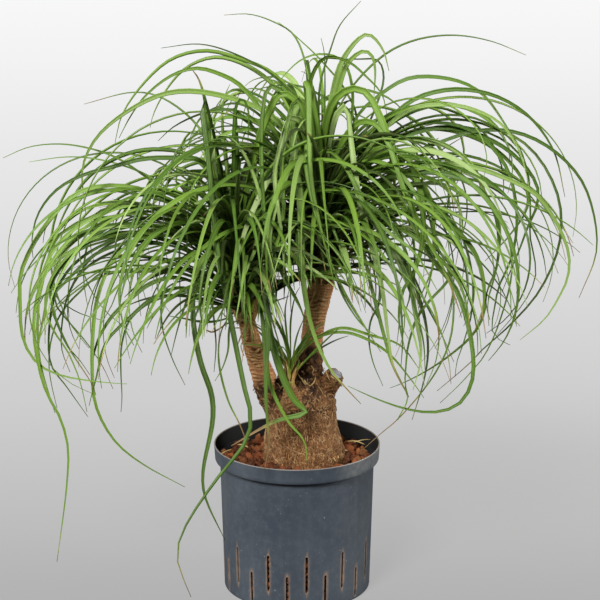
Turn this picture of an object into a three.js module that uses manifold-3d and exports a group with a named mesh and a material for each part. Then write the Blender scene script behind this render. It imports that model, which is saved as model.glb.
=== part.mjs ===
// Potted ponytail palm: a plastic hydroculture pot filled with clay granules, and a young plant
// with a swollen trunk, two leafy crowns, a small side shoot and one old cut branch.
// Millimetres, +Z up. The origin is the middle of the pot's underside, and the plant's
// front faces -Y.

import * as THREE from 'three';
import * as BufferGeometryUtils from 'three/addons/utils/BufferGeometryUtils.js';
import Module from 'manifold-3d';

const wasm = await Module();
wasm.setup();

// Gap between neighbouring pieces, and how fine the joined solids are
const SEAT_GAP = 0.35;
const WELD = 1e-4;
const SMALLEST_EDGE = 0.02;

// Pot
const POT_HEIGHT = 200;
const RIM_RADIUS = 110;
const RIM_BAND = 20;
const RIM_TAPER = 1.5;
const SHOULDER = 4;
const NECK_RADIUS = 102;
const BASE_RADIUS = 97;
const BASE_ROUND = 4;
const POT_WALL = 2;
const POT_SIDES = 48;
const SLOT_COUNT = 24;
const SLOT_WIDTH = 3.6;
const LONG_SLOT = { low: 24, high: 75 };
const SHORT_SLOT = { low: 6, high: 47 };
const FIRST_LONG_SLOT = 7.5;
const SLOT_DEPTH = 12;
const SLOT_END = 0.6;

// Clay granules
const BED_LEVEL = 182;
const GRANULE_PITCH = 16.5;
const GRANULE_RISE = 3;
const GRANULE_DIP = 3.5;
const GRANULE_SEED = 5;

// Trunk: sections stacked from low to high, each with its middle and its radius
const CAUDEX = [
  { z: 96, x: 9, y: 0, r: 24 }, { z: 108, x: 9, y: 0, r: 42 }, { z: 135, x: 9, y: 0, r: 53 },
  { z: 166, x: 9, y: 0, r: 56 }, { z: 184, x: 9, y: 0, r: 54.5 },
  { z: 205, x: 8, y: 0, r: 51 }, { z: 232, x: 6, y: 0, r: 46 }, { z: 258, x: 5, y: 0, r: 43 },
  { z: 278, x: 4, y: 1, r: 37 }, { z: 296, x: 6, y: 3, r: 26 }, { z: 306, x: 8, y: 4, r: 12 },
];
const CAUDEX_SIDES = 22;
const BARK_RELIEF = 0.035;
const BARK_LOBES = [
  { round: 5, up: 23, depth: 1 }, { round: 9, up: -11, depth: 0.7 }, { round: 3, up: 5, depth: 0.6 },
];
const LEFT_STEM = [
  { z: 226, x: -20, y: -3, r: 15 }, { z: 262, x: -31, y: -6, r: 19 },
  { z: 306, x: -47, y: -12, r: 15.5 }, { z: 341, x: -58, y: -16, r: 12.8 },
  { z: 378, x: -66, y: -20, r: 11 },
];
const RIGHT_STEM = [
  { z: 262, x: 10, y: 4, r: 20 }, { z: 300, x: 13, y: 8, r: 19 }, { z: 333, x: 19, y: 12, r: 14.6 },
  { z: 366, x: 23, y: 13, r: 14.6 }, { z: 400, x: 29, y: 14, r: 16.6 }, { z: 419, x: 33, y: 15, r: 17.5 },
];
const STEM_SIDES = 10;
const SCAR_PITCH = 9;
const SCAR_RELIEF = 0.032;
const CUT_BRANCH = [
  { x: 18, y: -2, z: 256, r: 17 }, { x: 40, y: -4, z: 279, r: 13.5 }, { x: 51, y: -11, z: 298, r: 12.5 },
];
const CUT_SEAL = { radius: 9.6, shoulder: 1.6, thickness: 2.4, crown: 8.2 };
const SHOOT_STEM = [
  { x: -2, y: -26, z: 250, r: 15 }, { x: -4, y: -36, z: 266, r: 13.5 },
  { x: -8, y: -39, z: 280, r: 10.2 }, { x: -9, y: -39, z: 292, r: 7 }, { x: -9, y: -39, z: 300, r: 5.8 },
];
const BRANCH_SIDES = 10;
const ROOT_COUNT = 6;
// Roots spread from the trunk's foot into the granules
const ROOT_UNEVENNESS = 0.3;
const ROOT_TOP = { z: 130, reach: 40, r: 8 };
const ROOT_KNEE = { z: 84, reach: 66, r: 5 };
const ROOT_TIP = { z: 30, reach: 80, r: 1.8 };
const ROOT_MIDDLE = 3;
const HOLE_MARGIN = 1.8 * SEAT_GAP;

// Crowns: the leafy column on top of each stem. Leaves stand all round it and up its whole length.
const CROWNS = {
  left: { foot: [-66, -20, 378], top: [-84, -20, 474], radius: 13, sides: 9, leaves: 58, seed: 29 },
  right: { foot: [33, 15, 419], top: [31, 15, 519], radius: 17.5, sides: 10, leaves: 64, seed: 71 },
};
const CORE_TAPER = 0.62;
const CORE_EASE = 1.5;
const CORE_CAP = 0.55;
const CORE_SHARES = [0, 0.3, 0.7, 0.93, 1];
const ROOTED = [0.06, 0.96];

// Leaves
const GOLDEN_ANGLE = THREE.MathUtils.degToRad(137.508);
const LOWEST_LAUNCH = THREE.MathUtils.degToRad(15);
const TOP_LAUNCH = THREE.MathUtils.degToRad(78);
const LEAF_LENGTH = [430, 700];
const LEAF_WIDTH = [6, 9];
const SHORTEST_LEAF = 200;
const LEAF_DROOP = [1.6, 2.8];
const LEAF_SWAY = [-0.3, 0.3];
const TIP_LEVEL = [250, 350];
const CROWN_REACH = 385;
const DEPTH_REACH = 335;
const ROOT_NECK = 0.55;
const NECK_END = 0.15;
const TAPER_START = 0.45;
const TAPER_EASE = 1.3;
const TURN_JITTER = [-0.22, 0.22];
const LAUNCH_JITTER = [-0.16, 0.16];
const LAUNCH_EASE = 0.75;
const STIFFNESS = [0.75, 1.15];
const YOUNGEST = { share: 0.93, length: 0.75 };
const DEPTH_EASE = 1.6;
// A leaf that hangs too low or reaches too far grows shorter, stiffer and steeper step by step
const FIT_STEPS = 40;
const SHORTEN = 0.95;
const STIFFEN = 0.92;
const STEEPEN = 0.03;
const STEEPEST = 1.5;
const SKIRT_FREE_STEPS = 3;
const KEEL_DEPTH = 1.5;
const TIP_WIDTH = 1.3;
const TIP_KEEL = 0.9;
const TRACED_SEGMENTS = 8;
const RULE_SEGMENTS = 6;
const TUFT_SEGMENTS = 3;
const ROUTE_STEPS = 16;
const ROOT_SINK = 5;
const TEST_GROW = 0.8;
const SWING_STEP = THREE.MathUtils.degToRad(3.5);
const SWING_TRIES = 26;
const PUSH_STEP = 5;

// Side shoot
const TUFT = { foot: [-9, -39, 300], height: 16, radius: 5.2, sides: 7, leaves: 10, seed: 13 };
const TUFT_LENGTH = [62, 105];
const TUFT_WIDTH = [3.4, 4.6];
const TUFT_LAUNCH = [0.85, 1.5];
const TUFT_DROOP = [-0.9, 0.2];
const TUFT_STIFFNESS = 1.3;

// The viewer of the reference picture: 600 by 600 points, seen from the front and above
const VIEW = { x: 4, y: -3780, z: 1509, pitch: THREE.MathUtils.degToRad(16.4), focal: 3015, middle: 300 };

// The lower edge of the foliage in the reference picture, from left to right
const SKIRT = [
  [0, 300], [40, 380], [95, 395], [150, 350], [200, 338], [240, 330], [266, 296], [300, 284],
  [345, 284], [370, 320], [400, 375], [450, 400], [500, 355], [560, 290], [600, 250],
];

// Leaves traced in the reference picture. Each has its crown, the share of the leafy column
// below its root, its width, the depth of its tip (minus is towards the viewer), and the
// picture points that it passes on its way from the root to the tip.
const TRACED_LEAVES = [
  ['right', 0.8, 7, -40, '290,140 262,111 230,98 191,91 163,94 134,107 103,130 88,151 82,172 86,216'],
  ['right', 0.9, 6, 30, '303,120 277,77 239,59 205,51 172,59 145,82 122,115 115,143'],
  ['right', 0.85, 6, 60, '298,130 268,80 220,57 187,67 166,90 153,115 150,128'],
  ['right', 0.7, 6, -20, '285,150 241,86 220,74 197,68 172,75 145,96 130,117 119,138'],
  ['right', 0.95, 3, 0, '306,115 275,77 240,56 201,44 161,48'],
  ['right', 0.97, 3, 50, '312,100 295,36 272,21 249,14 224,15'],
  ['left', 0.8, 3, 50, '225,190 201,130 163,98 134,92 84,104'],
  ['left', 0.5, 3, -20, '210,215 166,191 119,159 92,149 61,144 29,147 3,158'],
  ['left', 0.45, 3, 40, '200,220 150,177 101,160 67,157 29,162'],
  ['left', 0.75, 6, -60, '225,205 201,161 172,158 142,159 115,166 80,176 55,191 38,214 32,239 33,258'],
  ['left', 0.7, 6, 20, '222,195 191,157 163,150 134,152 107,163 84,182 63,216 50,254'],
  ['left', 0.4, 6, -90, '215,245 150,192 84,190 48,222 21,272 20,300 23,339 36,362 56,374 100,382 127,384'],
  ['left', 0.3, 5, -110, '215,255 150,215 90,225 50,265 34,320 45,388 60,417 68,446 67,484 57,562'],
  ['left', 0.2, 6, -80, '225,275 180,238 130,244 100,290 93,384 98,411 116,442 143,464 185,487'],
  ['left', 0.1, 9, -130, '232,300 212,275 197,285 194,319 201,362 212,395 213,420 203,473 205,496 225,540'],
  ['left', 0.9, 11, -190,
    '222,180 205,108 203,92 207,140 217,240 229,309 241,379 251,415 223,469 183,531 177,558 191,597'],
  ['left', 0.8, 11, -84, '240,253 250,262 260,286 266,309 269,332 283,378 295,401 306,412 276,421 231,446'],
  ['left', 0.55, 6, -96, '246,268 255,285 262,320 267,371 272,390 290,424 301,436 306,447 306,463'],
  ['left', 0.65, 6, -118, '247,255 258,270 266,310 268,340 266,367 266,402 268,429 269,443 264,471'],
  ['right', 0.9, 10, -140,
    '312,150 302,98 295,106 293,150 300,200 303,280 313,332 330,369 345,387 361,404'],
  ['right', 0.5, 5, -80, '320,215 323,228 330,261 344,292 367,330 381,352'],
  ['right', 0.75, 7, -130, '300,140 283,92 268,86 262,110 261,160 268,240 283,278 299,307 305,319'],
  ['right', 0.6, 9, -130, '330,150 339,112 347,106 352,140 358,190 373,250 382,286 388,334 394,368 409,397'],
  ['right', 0.4, 7, -90,
    '345,188 370,178 400,205 430,257 457,292 473,357 470,387 457,405 434,412 407,409 377,399 348,386'],
  ['right', 0.8, 10, -110, '325,129 336,98 352,88 367,92 380,115 390,143 403,186 422,230 445,272 462,318'],
  ['right', 0.98, 3, 20, '319,92 331,48 340,25 361,1'],
  ['right', 0.88, 6, -40, '308,140 310,80 325,57 348,61 367,77 382,94 387,115'],
  ['right', 0.92, 6, 10, '326,130 332,96 344,57 367,34 382,48 389,71'],
  ['right', 0.94, 6, -25, '330,140 337,96 348,63 363,51 371,54 375,67 374,96'],
  ['right', 0.9, 3, 40, '335,120 350,90 384,55 415,40 453,35 491,41 526,55'],
  ['right', 0.7, 6, 30, '345,150 359,115 377,98 405,80 430,77 463,83 484,96 507,128 522,153 530,182'],
  ['right', 0.6, 6, 0, '350,165 390,119 415,99 445,90 472,90 501,98 530,117 554,151 565,197'],
  ['right', 0.5, 6, -50, '350,178 396,119 419,107 449,105 472,109 501,124 520,153 530,191'],
  ['right', 0.45, 5, -20, '350,195 400,160 447,140 476,131 510,131 539,141 568,163 587,191 597,249 579,298'],
  ['right', 0.3, 6, -80, '345,212 400,175 460,165 510,180 539,197 568,249 568,277 558,299 545,319 520,340'],
  ['tuft', 0.6, 5, -55, '301,350 318,338 330,331 345,328 370,335 400,345 420,370'],
  ['tuft', 0.5, 5, -72, '302,352 325,335 350,333 385,350 410,378 424,398'],
];

// Random numbers, the same on every run
function randomFrom(seed) {
  let state = seed;
  return () => {
    state = (state * 48271) % 2147483647;
    return state / 2147483647;
  };
}

function within([low, high], draw) {
  return low + (high - low) * draw;
}

// A picture point at a known depth, as a place in space
function seenAt(px, py, depth) {
  const across = (px - VIEW.middle) / VIEW.focal;
  const up = (VIEW.middle - py) / VIEW.focal;
  const cos = Math.cos(VIEW.pitch);
  const sin = Math.sin(VIEW.pitch);
  const reach = (depth - VIEW.y) / (cos + up * sin);
  return new THREE.Vector3(VIEW.x + across * reach, depth, VIEW.z + reach * (up * cos - sin));
}

// The picture point at which a place in space is seen
function shownAt({ x, y, z }) {
  const cos = Math.cos(VIEW.pitch);
  const sin = Math.sin(VIEW.pitch);
  const reach = (y - VIEW.y) * cos - (z - VIEW.z) * sin;
  const up = (y - VIEW.y) * sin + (z - VIEW.z) * cos;
  return [VIEW.middle + (VIEW.focal * (x - VIEW.x)) / reach, VIEW.middle - (VIEW.focal * up) / reach];
}

function skirtAt(px) {
  const right = Math.min(Math.max(SKIRT.findIndex(([x]) => x > px), 1), SKIRT.length - 1);
  const [[x0, y0], [x1, y1]] = [SKIRT[right - 1], SKIRT[right]];
  return y0 + ((y1 - y0) * (Math.min(Math.max(px, x0), x1) - x0)) / (x1 - x0);
}

// Solids and meshes
function solidOf(geometry) {
  const bare = geometry.clone();
  bare.deleteAttribute('normal');
  bare.deleteAttribute('uv');
  const merged = BufferGeometryUtils.mergeVertices(bare, WELD);
  const vertProperties = new Float32Array(merged.attributes.position.array);
  const triVerts = new Uint32Array(merged.index.array);
  return new wasm.Manifold(new wasm.Mesh({ numProp: 3, vertProperties, triVerts }));
}

// Only the outer body is kept: scraps are dropped, and hollows that the joins sealed are filled
function oneBody(solid) {
  const bodies = solid.decompose();
  return bodies.reduce((a, b) => (b.volume() > a.volume() ? b : a));
}

function meshOf(name, solid, material) {
  const { vertProperties, triVerts } = solid.getMesh();
  const geometry = new THREE.BufferGeometry();
  geometry.setAttribute('position', new THREE.BufferAttribute(vertProperties, 3));
  geometry.setIndex(new THREE.BufferAttribute(triVerts, 1));
  geometry.computeVertexNormals();
  const mesh = new THREE.Mesh(geometry, material);
  mesh.name = name;
  return mesh;
}

// A closed skin over rings that all have the same number of corners
function skin(rings) {
  const sides = rings[0].length;
  const positions = [];
  rings.flat().forEach((p) => positions.push(p.x, p.y, p.z));
  const faces = [];
  for (let ring = 0; ring < rings.length - 1; ring += 1) {
    for (let side = 0; side < sides; side += 1) {
      const a = ring * sides + side;
      const b = ring * sides + ((side + 1) % sides);
      faces.push(a, b, b + sides, a, b + sides, a + sides);
    }
  }
  const last = (rings.length - 1) * sides;
  for (let side = 1; side < sides - 1; side += 1) {
    faces.push(0, side + 1, side, last, last + side, last + side + 1);
  }
  const geometry = new THREE.BufferGeometry();
  geometry.setAttribute('position', new THREE.Float32BufferAttribute(positions, 3));
  geometry.setIndex(faces);
  return solidOf(geometry);
}

// Level rings stacked on a leaning axis; relief gives each corner's share of extra radius
function stack(sections, sides, relief = () => 0) {
  return skin(sections.map((s) => Array.from({ length: sides }, (_, side) => {
    const angle = (2 * Math.PI * side) / sides;
    const r = s.r * (1 + relief(angle, s.z));
    return new THREE.Vector3(s.x + r * Math.cos(angle), s.y + r * Math.sin(angle), s.z);
  })));
}

// Rings square to a bent axis
function bough(sections, sides) {
  const places = sections.map((s) => new THREE.Vector3(s.x, s.y, s.z));
  return skin(places.map((place, index) => {
    const before = places[Math.max(index - 1, 0)];
    const after = places[Math.min(index + 1, places.length - 1)];
    const along = after.clone().sub(before).normalize();
    const across = new THREE.Vector3(0, 1, 0).cross(along).normalize();
    const third = along.clone().cross(across);
    return Array.from({ length: sides }, (_, side) => {
      const angle = (2 * Math.PI * side) / sides;
      return place.clone()
        .addScaledVector(across, sections[index].r * Math.cos(angle))
        .addScaledVector(third, sections[index].r * Math.sin(angle));
    });
  }));
}

function grown(sections, by) {
  return sections.map((s) => ({ ...s, r: s.r + by }));
}

// Sections at a given spacing between the listed ones
function refined(sections, spacing) {
  const steps = Math.round((sections.at(-1).z - sections[0].z) / spacing);
  const curve = (key) => new THREE.CatmullRomCurve3(sections.map((s) => new THREE.Vector3(s[key], s.z, 0)));
  const curves = { x: curve('x'), y: curve('y'), r: curve('r') };
  return Array.from({ length: steps + 1 }, (_, step) => {
    const at = Object.fromEntries(Object.entries(curves).map(([key, c]) => [key, c.getPoint(step / steps)]));
    return { x: at.x.x, y: at.y.x, r: at.r.x, z: at.x.y };
  });
}

// Pot
function potOutline(outside) {
  const shrink = outside ? 0 : POT_WALL;
  const floor = outside ? 0 : POT_WALL;
  const bandFoot = POT_HEIGHT - RIM_BAND;
  const round = BASE_ROUND - shrink;
  const corner = [0, 0.5, 1].map((turn) => [
    BASE_RADIUS - shrink - round * (1 - Math.sin((turn * Math.PI) / 2)),
    floor + round * (1 - Math.cos((turn * Math.PI) / 2)),
  ]);
  return [
    [0, floor], ...corner,
    [NECK_RADIUS - shrink, bandFoot - SHOULDER],
    [RIM_RADIUS - RIM_TAPER - shrink, bandFoot],
    [RIM_RADIUS - shrink, POT_HEIGHT],
  ];
}

function lathe(outline) {
  const points = outline.map(([r, z]) => new THREE.Vector2(r, z));
  return solidOf(new THREE.LatheGeometry(points, POT_SIDES, Math.PI / POT_SIDES).rotateX(Math.PI / 2));
}

function slot({ low, high }, degrees) {
  const half = SLOT_WIDTH / 2;
  const bevel = half * SLOT_END;
  const outline = new THREE.Shape([
    [-half, low + bevel], [0, low], [half, low + bevel],
    [half, high - bevel], [0, high], [-half, high - bevel],
  ].map(([x, z]) => new THREE.Vector2(x, z)));
  const bar = new THREE.ExtrudeGeometry(outline, { depth: SLOT_DEPTH, bevelEnabled: false });
  bar.rotateX(Math.PI / 2);
  bar.translate(0, -BASE_RADIUS + SLOT_DEPTH / 2, 0);
  bar.rotateZ(THREE.MathUtils.degToRad(degrees));
  return solidOf(bar);
}

function potSolid() {
  const inside = potOutline(false).reverse();
  let pot = lathe([...potOutline(true), ...inside]);
  const pitch = 360 / SLOT_COUNT;
  for (let index = 0; index < SLOT_COUNT; index += 1) {
    const size = index % 2 === 0 ? LONG_SLOT : SHORT_SLOT;
    pot = pot.subtract(slot(size, FIRST_LONG_SLOT + index * pitch));
  }
  return pot;
}

// Clay granules: one bed whose top is raised into close-packed lumps
function bedSolid(hole) {
  const draw = randomFrom(GRANULE_SEED);
  const rowPitch = GRANULE_PITCH * Math.sqrt(3) / 2;
  const corner = GRANULE_PITCH / Math.sqrt(3);
  const reach = Math.ceil((RIM_RADIUS + GRANULE_PITCH) / rowPitch);
  const lumps = [];
  const floor = POT_WALL + SEAT_GAP;
  for (let row = -reach; row <= reach; row += 1) {
    for (let column = -reach; column <= reach; column += 1) {
      const x = (column + (Math.abs(row) % 2) / 2) * GRANULE_PITCH;
      const y = row * rowPitch;
      const peak = BED_LEVEL + GRANULE_RISE * draw();
      if (Math.hypot(x, y) > RIM_RADIUS + GRANULE_PITCH) continue;
      lumps.push({ x, y, peak });
    }
  }
  const positions = [];
  const dip = (x, y) => BED_LEVEL - GRANULE_DIP * (0.6 + 0.4 * Math.sin(x * 1.7 + y * 2.3));
  const triangle = (...points) => points.forEach((p) => positions.push(...p));
  const edges = new Map();
  lumps.forEach(({ x, y, peak }) => {
    for (let side = 0; side < 6; side += 1) {
      const [a, b] = [side, side + 1].map((s) => {
        const angle = Math.PI / 6 + (s * Math.PI) / 3;
        const [cx, cy] = [x + corner * Math.cos(angle), y + corner * Math.sin(angle)];
        return [Math.round(cx * 1e3) / 1e3, Math.round(cy * 1e3) / 1e3];
      });
      triangle([x, y, peak], [...a, dip(...a)], [...b, dip(...b)]);
      triangle([x, y, 0], [...b, 0], [...a, 0]);
      const key = [a.join(), b.join()].sort().join(' ');
      if (edges.has(key)) edges.delete(key);
      else edges.set(key, [a, b]);
    }
  });
  edges.forEach(([a, b]) => {
    triangle([...a, 0], [...b, 0], [...b, dip(...b)]);
    triangle([...a, 0], [...b, dip(...b)], [...a, dip(...a)]);
  });
  const slab = new THREE.BufferGeometry();
  slab.setAttribute('position', new THREE.Float32BufferAttribute(positions, 3));
  const cavity = potOutline(false).map(([r, z]) => [Math.max(r - SEAT_GAP, 0), z]);
  cavity[0][1] = floor;
  cavity[1][1] = floor;
  return solidOf(slab).intersect(lathe([...cavity, [0, POT_HEIGHT]])).subtract(hole);
}

// Trunk
function barkRelief(angle, z) {
  return BARK_RELIEF * BARK_LOBES.reduce((sum, l) => sum + l.depth * Math.sin(l.round * angle + z / l.up), 0);
}

function scarRelief(angle, z) {
  const ridge = Math.round((2 * z) / SCAR_PITCH) % 2 === 0 ? 1 : -1;
  return ridge * SCAR_RELIEF;
}

function roots(by) {
  return Array.from({ length: ROOT_COUNT }, (_, index) => {
    const angle = (2 * Math.PI * (index + ROOT_UNEVENNESS * Math.sin(index * GOLDEN_ANGLE))) / ROOT_COUNT;
    const place = ({ z, reach, r }) => ({
      x: ROOT_MIDDLE + reach * Math.cos(angle), y: reach * Math.sin(angle), z, r: r + by,
    });
    const tip = place(ROOT_TIP);
    return bough([place(ROOT_TOP), place(ROOT_KNEE), { ...tip, z: tip.z - by }], 4);
  });
}

function trunkSolid() {
  const stems = [LEFT_STEM, RIGHT_STEM].map((s) => stack(refined(s, SCAR_PITCH / 2), STEM_SIDES, scarRelief));
  const parts = [
    stack(CAUDEX, CAUDEX_SIDES, barkRelief), ...stems,
    bough(CUT_BRANCH, BRANCH_SIDES), bough(SHOOT_STEM, BRANCH_SIDES), ...roots(0),
  ];
  return oneBody(wasm.Manifold.union(parts).simplify(SMALLEST_EDGE));
}

// The plain hole that the trunk's foot and roots stand in
function trunkHole() {
  const foot = grown(CAUDEX, HOLE_MARGIN);
  foot[0].z -= HOLE_MARGIN;
  return wasm.Manifold.union([stack(foot, CAUDEX_SIDES, barkRelief), ...roots(HOLE_MARGIN)]);
}

function sealSolid() {
  const [from, end] = CUT_BRANCH.slice(-2).map((s) => new THREE.Vector3(s.x, s.y, s.z));
  const along = end.clone().sub(from).normalize();
  const ring = (offset, r) => ({ ...end.clone().addScaledVector(along, offset), r });
  const { radius, shoulder, thickness, crown } = CUT_SEAL;
  return bough([ring(SEAT_GAP, radius), ring(shoulder, radius), ring(thickness, crown)], BRANCH_SIDES);
}

// Leaves
function coreRadius(core, share) {
  return core.radius * (1 - (1 - CORE_TAPER) * share ** CORE_EASE);
}

// Where a leaf leaves the core, a little below its surface
function rootPoint(core, share, heading) {
  const up = within(ROOTED, share);
  const out = coreRadius(core, up) - ROOT_SINK;
  return new THREE.Vector3(...core.foot).lerp(new THREE.Vector3(...core.top), up)
    .add(new THREE.Vector3(out * Math.cos(heading), out * Math.sin(heading), 0));
}

// A leaf that leaves the core at a set steepness and bends over until it hangs
function arch({ root, heading, launch, droop, length, sway, stiff }) {
  const points = [root.clone()];
  const step = length / ROUTE_STEPS;
  for (let index = 0; index < ROUTE_STEPS; index += 1) {
    const along = (index + 0.5) / ROUTE_STEPS;
    const bent = along ** stiff;
    const rise = launch - (launch + droop) * bent;
    const bearing = heading + sway * along * along;
    const direction = new THREE.Vector3(
      Math.cos(rise) * Math.cos(bearing), Math.cos(rise) * Math.sin(bearing), Math.sin(rise));
    points.push(points.at(-1).clone().addScaledVector(direction, step));
  }
  return points;
}

// Whether a leaf hangs out below the foliage of the picture
function belowSkirt(route) {
  return route.slice(SKIRT_FREE_STEPS).some((place) => {
    const [px, py] = shownAt(place);
    return py > skirtAt(px);
  });
}

// One leaf of a crown by the rule: golden-angle turns, steeper and younger towards the top
function ruleLeaf(core, index, random) {
  const draws = Array.from({ length: 9 }, random);
  const share = (index + 0.5) / core.leaves;
  const heading = index * GOLDEN_ANGLE + within(TURN_JITTER, draws[0]);
  const youth = share > YOUNGEST.share ? YOUNGEST.length : 1;
  const leaf = {
    root: rootPoint(core, share, heading),
    heading,
    launch: within([LOWEST_LAUNCH, TOP_LAUNCH], share ** LAUNCH_EASE) + within(LAUNCH_JITTER, draws[1]),
    droop: within(LEAF_DROOP, draws[2]),
    length: within(LEAF_LENGTH, draws[3]) * youth,
    sway: within(LEAF_SWAY, draws[4]),
    stiff: within(STIFFNESS, draws[5]),
    width: within(LEAF_WIDTH, draws[6]),
    side: draws[7] < 0.5 ? 1 : -1,
    segments: RULE_SEGMENTS,
  };
  fitLeaf(leaf, within(TIP_LEVEL, draws[8]));
  return leaf;
}

function fitLeaf(leaf, level) {
  for (let step = 0; step < FIT_STEPS; step += 1) {
    const route = arch(leaf);
    const low = belowSkirt(route);
    const far = route.some((p) => (
      p.z < level || Math.hypot(p.x, p.y) > CROWN_REACH || Math.abs(p.y) > DEPTH_REACH));
    if (!low && !far) return;
    leaf.length = Math.max(leaf.length * SHORTEN, SHORTEST_LEAF);
    if (low) {
      leaf.droop *= STIFFEN;
      leaf.launch = Math.max(leaf.launch, Math.min(leaf.launch + STEEPEN, STEEPEST));
    }
  }
}

function tuftLeaf(core, index, random) {
  const draws = Array.from({ length: 4 }, random);
  const share = (index + 0.5) / core.leaves;
  const heading = index * GOLDEN_ANGLE + within(TURN_JITTER, draws[0]);
  return {
    root: rootPoint(core, share, heading),
    heading,
    launch: within(TUFT_LAUNCH, share),
    droop: within(TUFT_DROOP, draws[1]),
    length: within(TUFT_LENGTH, draws[2]),
    sway: 0,
    stiff: TUFT_STIFFNESS,
    width: within(TUFT_WIDTH, draws[3]),
    side: 1,
    segments: TUFT_SEGMENTS,
  };
}

function tracedRoute(core, share, tipDepth, passes) {
  const points = passes.split(' ').map((pair) => pair.split(',').map(Number));
  const aim = seenAt(...points[1], (core.foot[1] + tipDepth) / 2);
  const root = rootPoint(core, share, Math.atan2(aim.y - core.foot[1], aim.x - core.top[0]));
  const steps = points.map((p, i) => {
    const before = points[Math.max(i - 1, 0)];
    return Math.hypot(p[0] - before[0], p[1] - before[1]);
  });
  const total = steps.reduce((a, b) => a + b, 0);
  let run = 0;
  const places = points.map(([px, py], index) => {
    run += steps[index];
    const depth = root.y + (tipDepth - root.y) * (1 - (1 - run / total) ** DEPTH_EASE);
    return seenAt(px, py, depth);
  });
  return [root, ...places];
}

function widthAt(width, along) {
  const neck = ROOT_NECK + (1 - ROOT_NECK) * Math.min(along / NECK_END, 1);
  const taper = along < TAPER_START ? neck : 1 - ((along - TAPER_START) / (1 - TAPER_START)) ** TAPER_EASE;
  return TIP_WIDTH + (width - TIP_WIDTH) * taper;
}

// A blade with a flat upper face and a keel below
function blade(route, width, segments, grow = 0) {
  const curve = new THREE.CatmullRomCurve3(route, false, 'centripetal');
  const first = curve.getTangentAt(0.02);
  let across = new THREE.Vector3(-first.y, first.x, 0);
  across.normalize();
  const rings = Array.from({ length: segments + 1 }, (_, index) => {
    const along = index / segments;
    const place = curve.getPointAt(along);
    const forward = curve.getTangentAt(along);
    across = across.addScaledVector(forward, -across.dot(forward)).normalize();
    const below = forward.clone().cross(across).normalize().negate();
    const half = widthAt(width, along) / 2 + grow;
    const keel = within([TIP_KEEL, KEEL_DEPTH], (half * 2 - TIP_WIDTH) / width);
    if (along === 1) place.addScaledVector(forward, grow);
    return [
      place.clone().addScaledVector(across, half).addScaledVector(below, -grow),
      place.clone().addScaledVector(below, keel + grow),
      place.clone().addScaledVector(across, -half).addScaledVector(below, -grow),
    ];
  });
  const solid = skin(rings);
  return solid.volume() > 0 ? solid : skin(rings.map((ring) => [...ring].reverse()));
}

function clears(solid, others) {
  return others.every((other) => solid.intersect(other).isEmpty());
}

// Bent clear of the other pieces: swung about the crown, or left out where nothing is free
function placeRuleLeaf(leaf, others) {
  for (let attempt = 0; attempt < SWING_TRIES; attempt += 1) {
    const swing = SWING_STEP * Math.ceil(attempt / 2) * (attempt % 2 === 0 ? 1 : -1) * leaf.side;
    const route = arch({ ...leaf, heading: leaf.heading + swing });
    if (clears(blade(route, leaf.width, leaf.segments, TEST_GROW), others)) {
      return blade(route, leaf.width, leaf.segments);
    }
  }
  return null;
}

function placeTracedLeaf(core, [, share, width, tipDepth, passes], others) {
  for (let attempt = 0; attempt < SWING_TRIES; attempt += 1) {
    const depth = tipDepth - PUSH_STEP * attempt;
    const route = tracedRoute(core, share, depth, passes);
    if (clears(blade(route, width, TRACED_SEGMENTS, TEST_GROW), others)) {
      return blade(route, width, TRACED_SEGMENTS);
    }
  }
  return null;
}

function coreSolid(core) {
  const foot = new THREE.Vector3(...core.foot);
  const top = new THREE.Vector3(...core.top);
  const sections = CORE_SHARES.map((share) => {
    const p = foot.clone().lerp(top, share);
    const r = coreRadius(core, share) * (share === 1 ? CORE_CAP : 1);
    return { x: p.x, y: p.y, z: p.z + (share === 0 ? SEAT_GAP : 0), r };
  });
  return stack(sections, core.sides);
}

function placed(names, crowns, others) {
  const solids = Object.fromEntries(names.map((name) => [name, [coreSolid(crowns[name])]]));
  const rest = (name) => [...others, ...names.filter((n) => n !== name).flatMap((n) => solids[n])];
  TRACED_LEAVES.forEach((row) => {
    const leaf = placeTracedLeaf(crowns[row[0]], row, rest(row[0]));
    if (leaf) solids[row[0]].push(leaf);
  });
  names.forEach((name) => {
    const random = randomFrom(crowns[name].seed);
    const around = [wasm.Manifold.union(rest(name))];
    for (let index = 0; index < crowns[name].leaves; index += 1) {
      const rule = name === 'tuft' ? tuftLeaf : ruleLeaf;
      const leaf = placeRuleLeaf(rule(crowns[name], index, random), around);
      if (leaf) solids[name].push(leaf);
    }
  });
  return solids;
}

function plastic(color) {
  return new THREE.MeshStandardMaterial({ color, roughness: 0.5, metalness: 0 });
}

function matte(color, roughness = 0.9) {
  return new THREE.MeshStandardMaterial({ color, roughness, metalness: 0 });
}

function build() {
  const pot = potSolid();
  const trunk = trunkSolid();
  const bed = bedSolid(trunkHole());
  const seal = sealSolid();
  const tuft = { ...TUFT, top: [TUFT.foot[0], TUFT.foot[1], TUFT.foot[2] + TUFT.height] };
  const crowns = { ...CROWNS, tuft };
  const solids = placed(['left', 'right', 'tuft'], crowns, [pot, trunk, seal, bed]);
  const joined = (name) => oneBody(wasm.Manifold.union(solids[name]).simplify(SMALLEST_EDGE));
  const plant = new THREE.Group();
  plant.add(
    meshOf('pot', pot, plastic(0x454d55)),
    meshOf('clay_granules', bed, matte(0x6b4133, 0.95)),
    meshOf('trunk', trunk, matte(0x7a5a41)),
    meshOf('cut_seal', seal, matte(0x8d8b90, 0.6)),
    meshOf('crown_left', joined('left'), matte(0x4c7a34, 0.55)),
    meshOf('crown_right', joined('right'), matte(0x4c7a34, 0.55)),
    meshOf('side_shoot', joined('tuft'), matte(0x6a9a3c, 0.55)),
  );
  return plant;
}

export default build();
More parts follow.
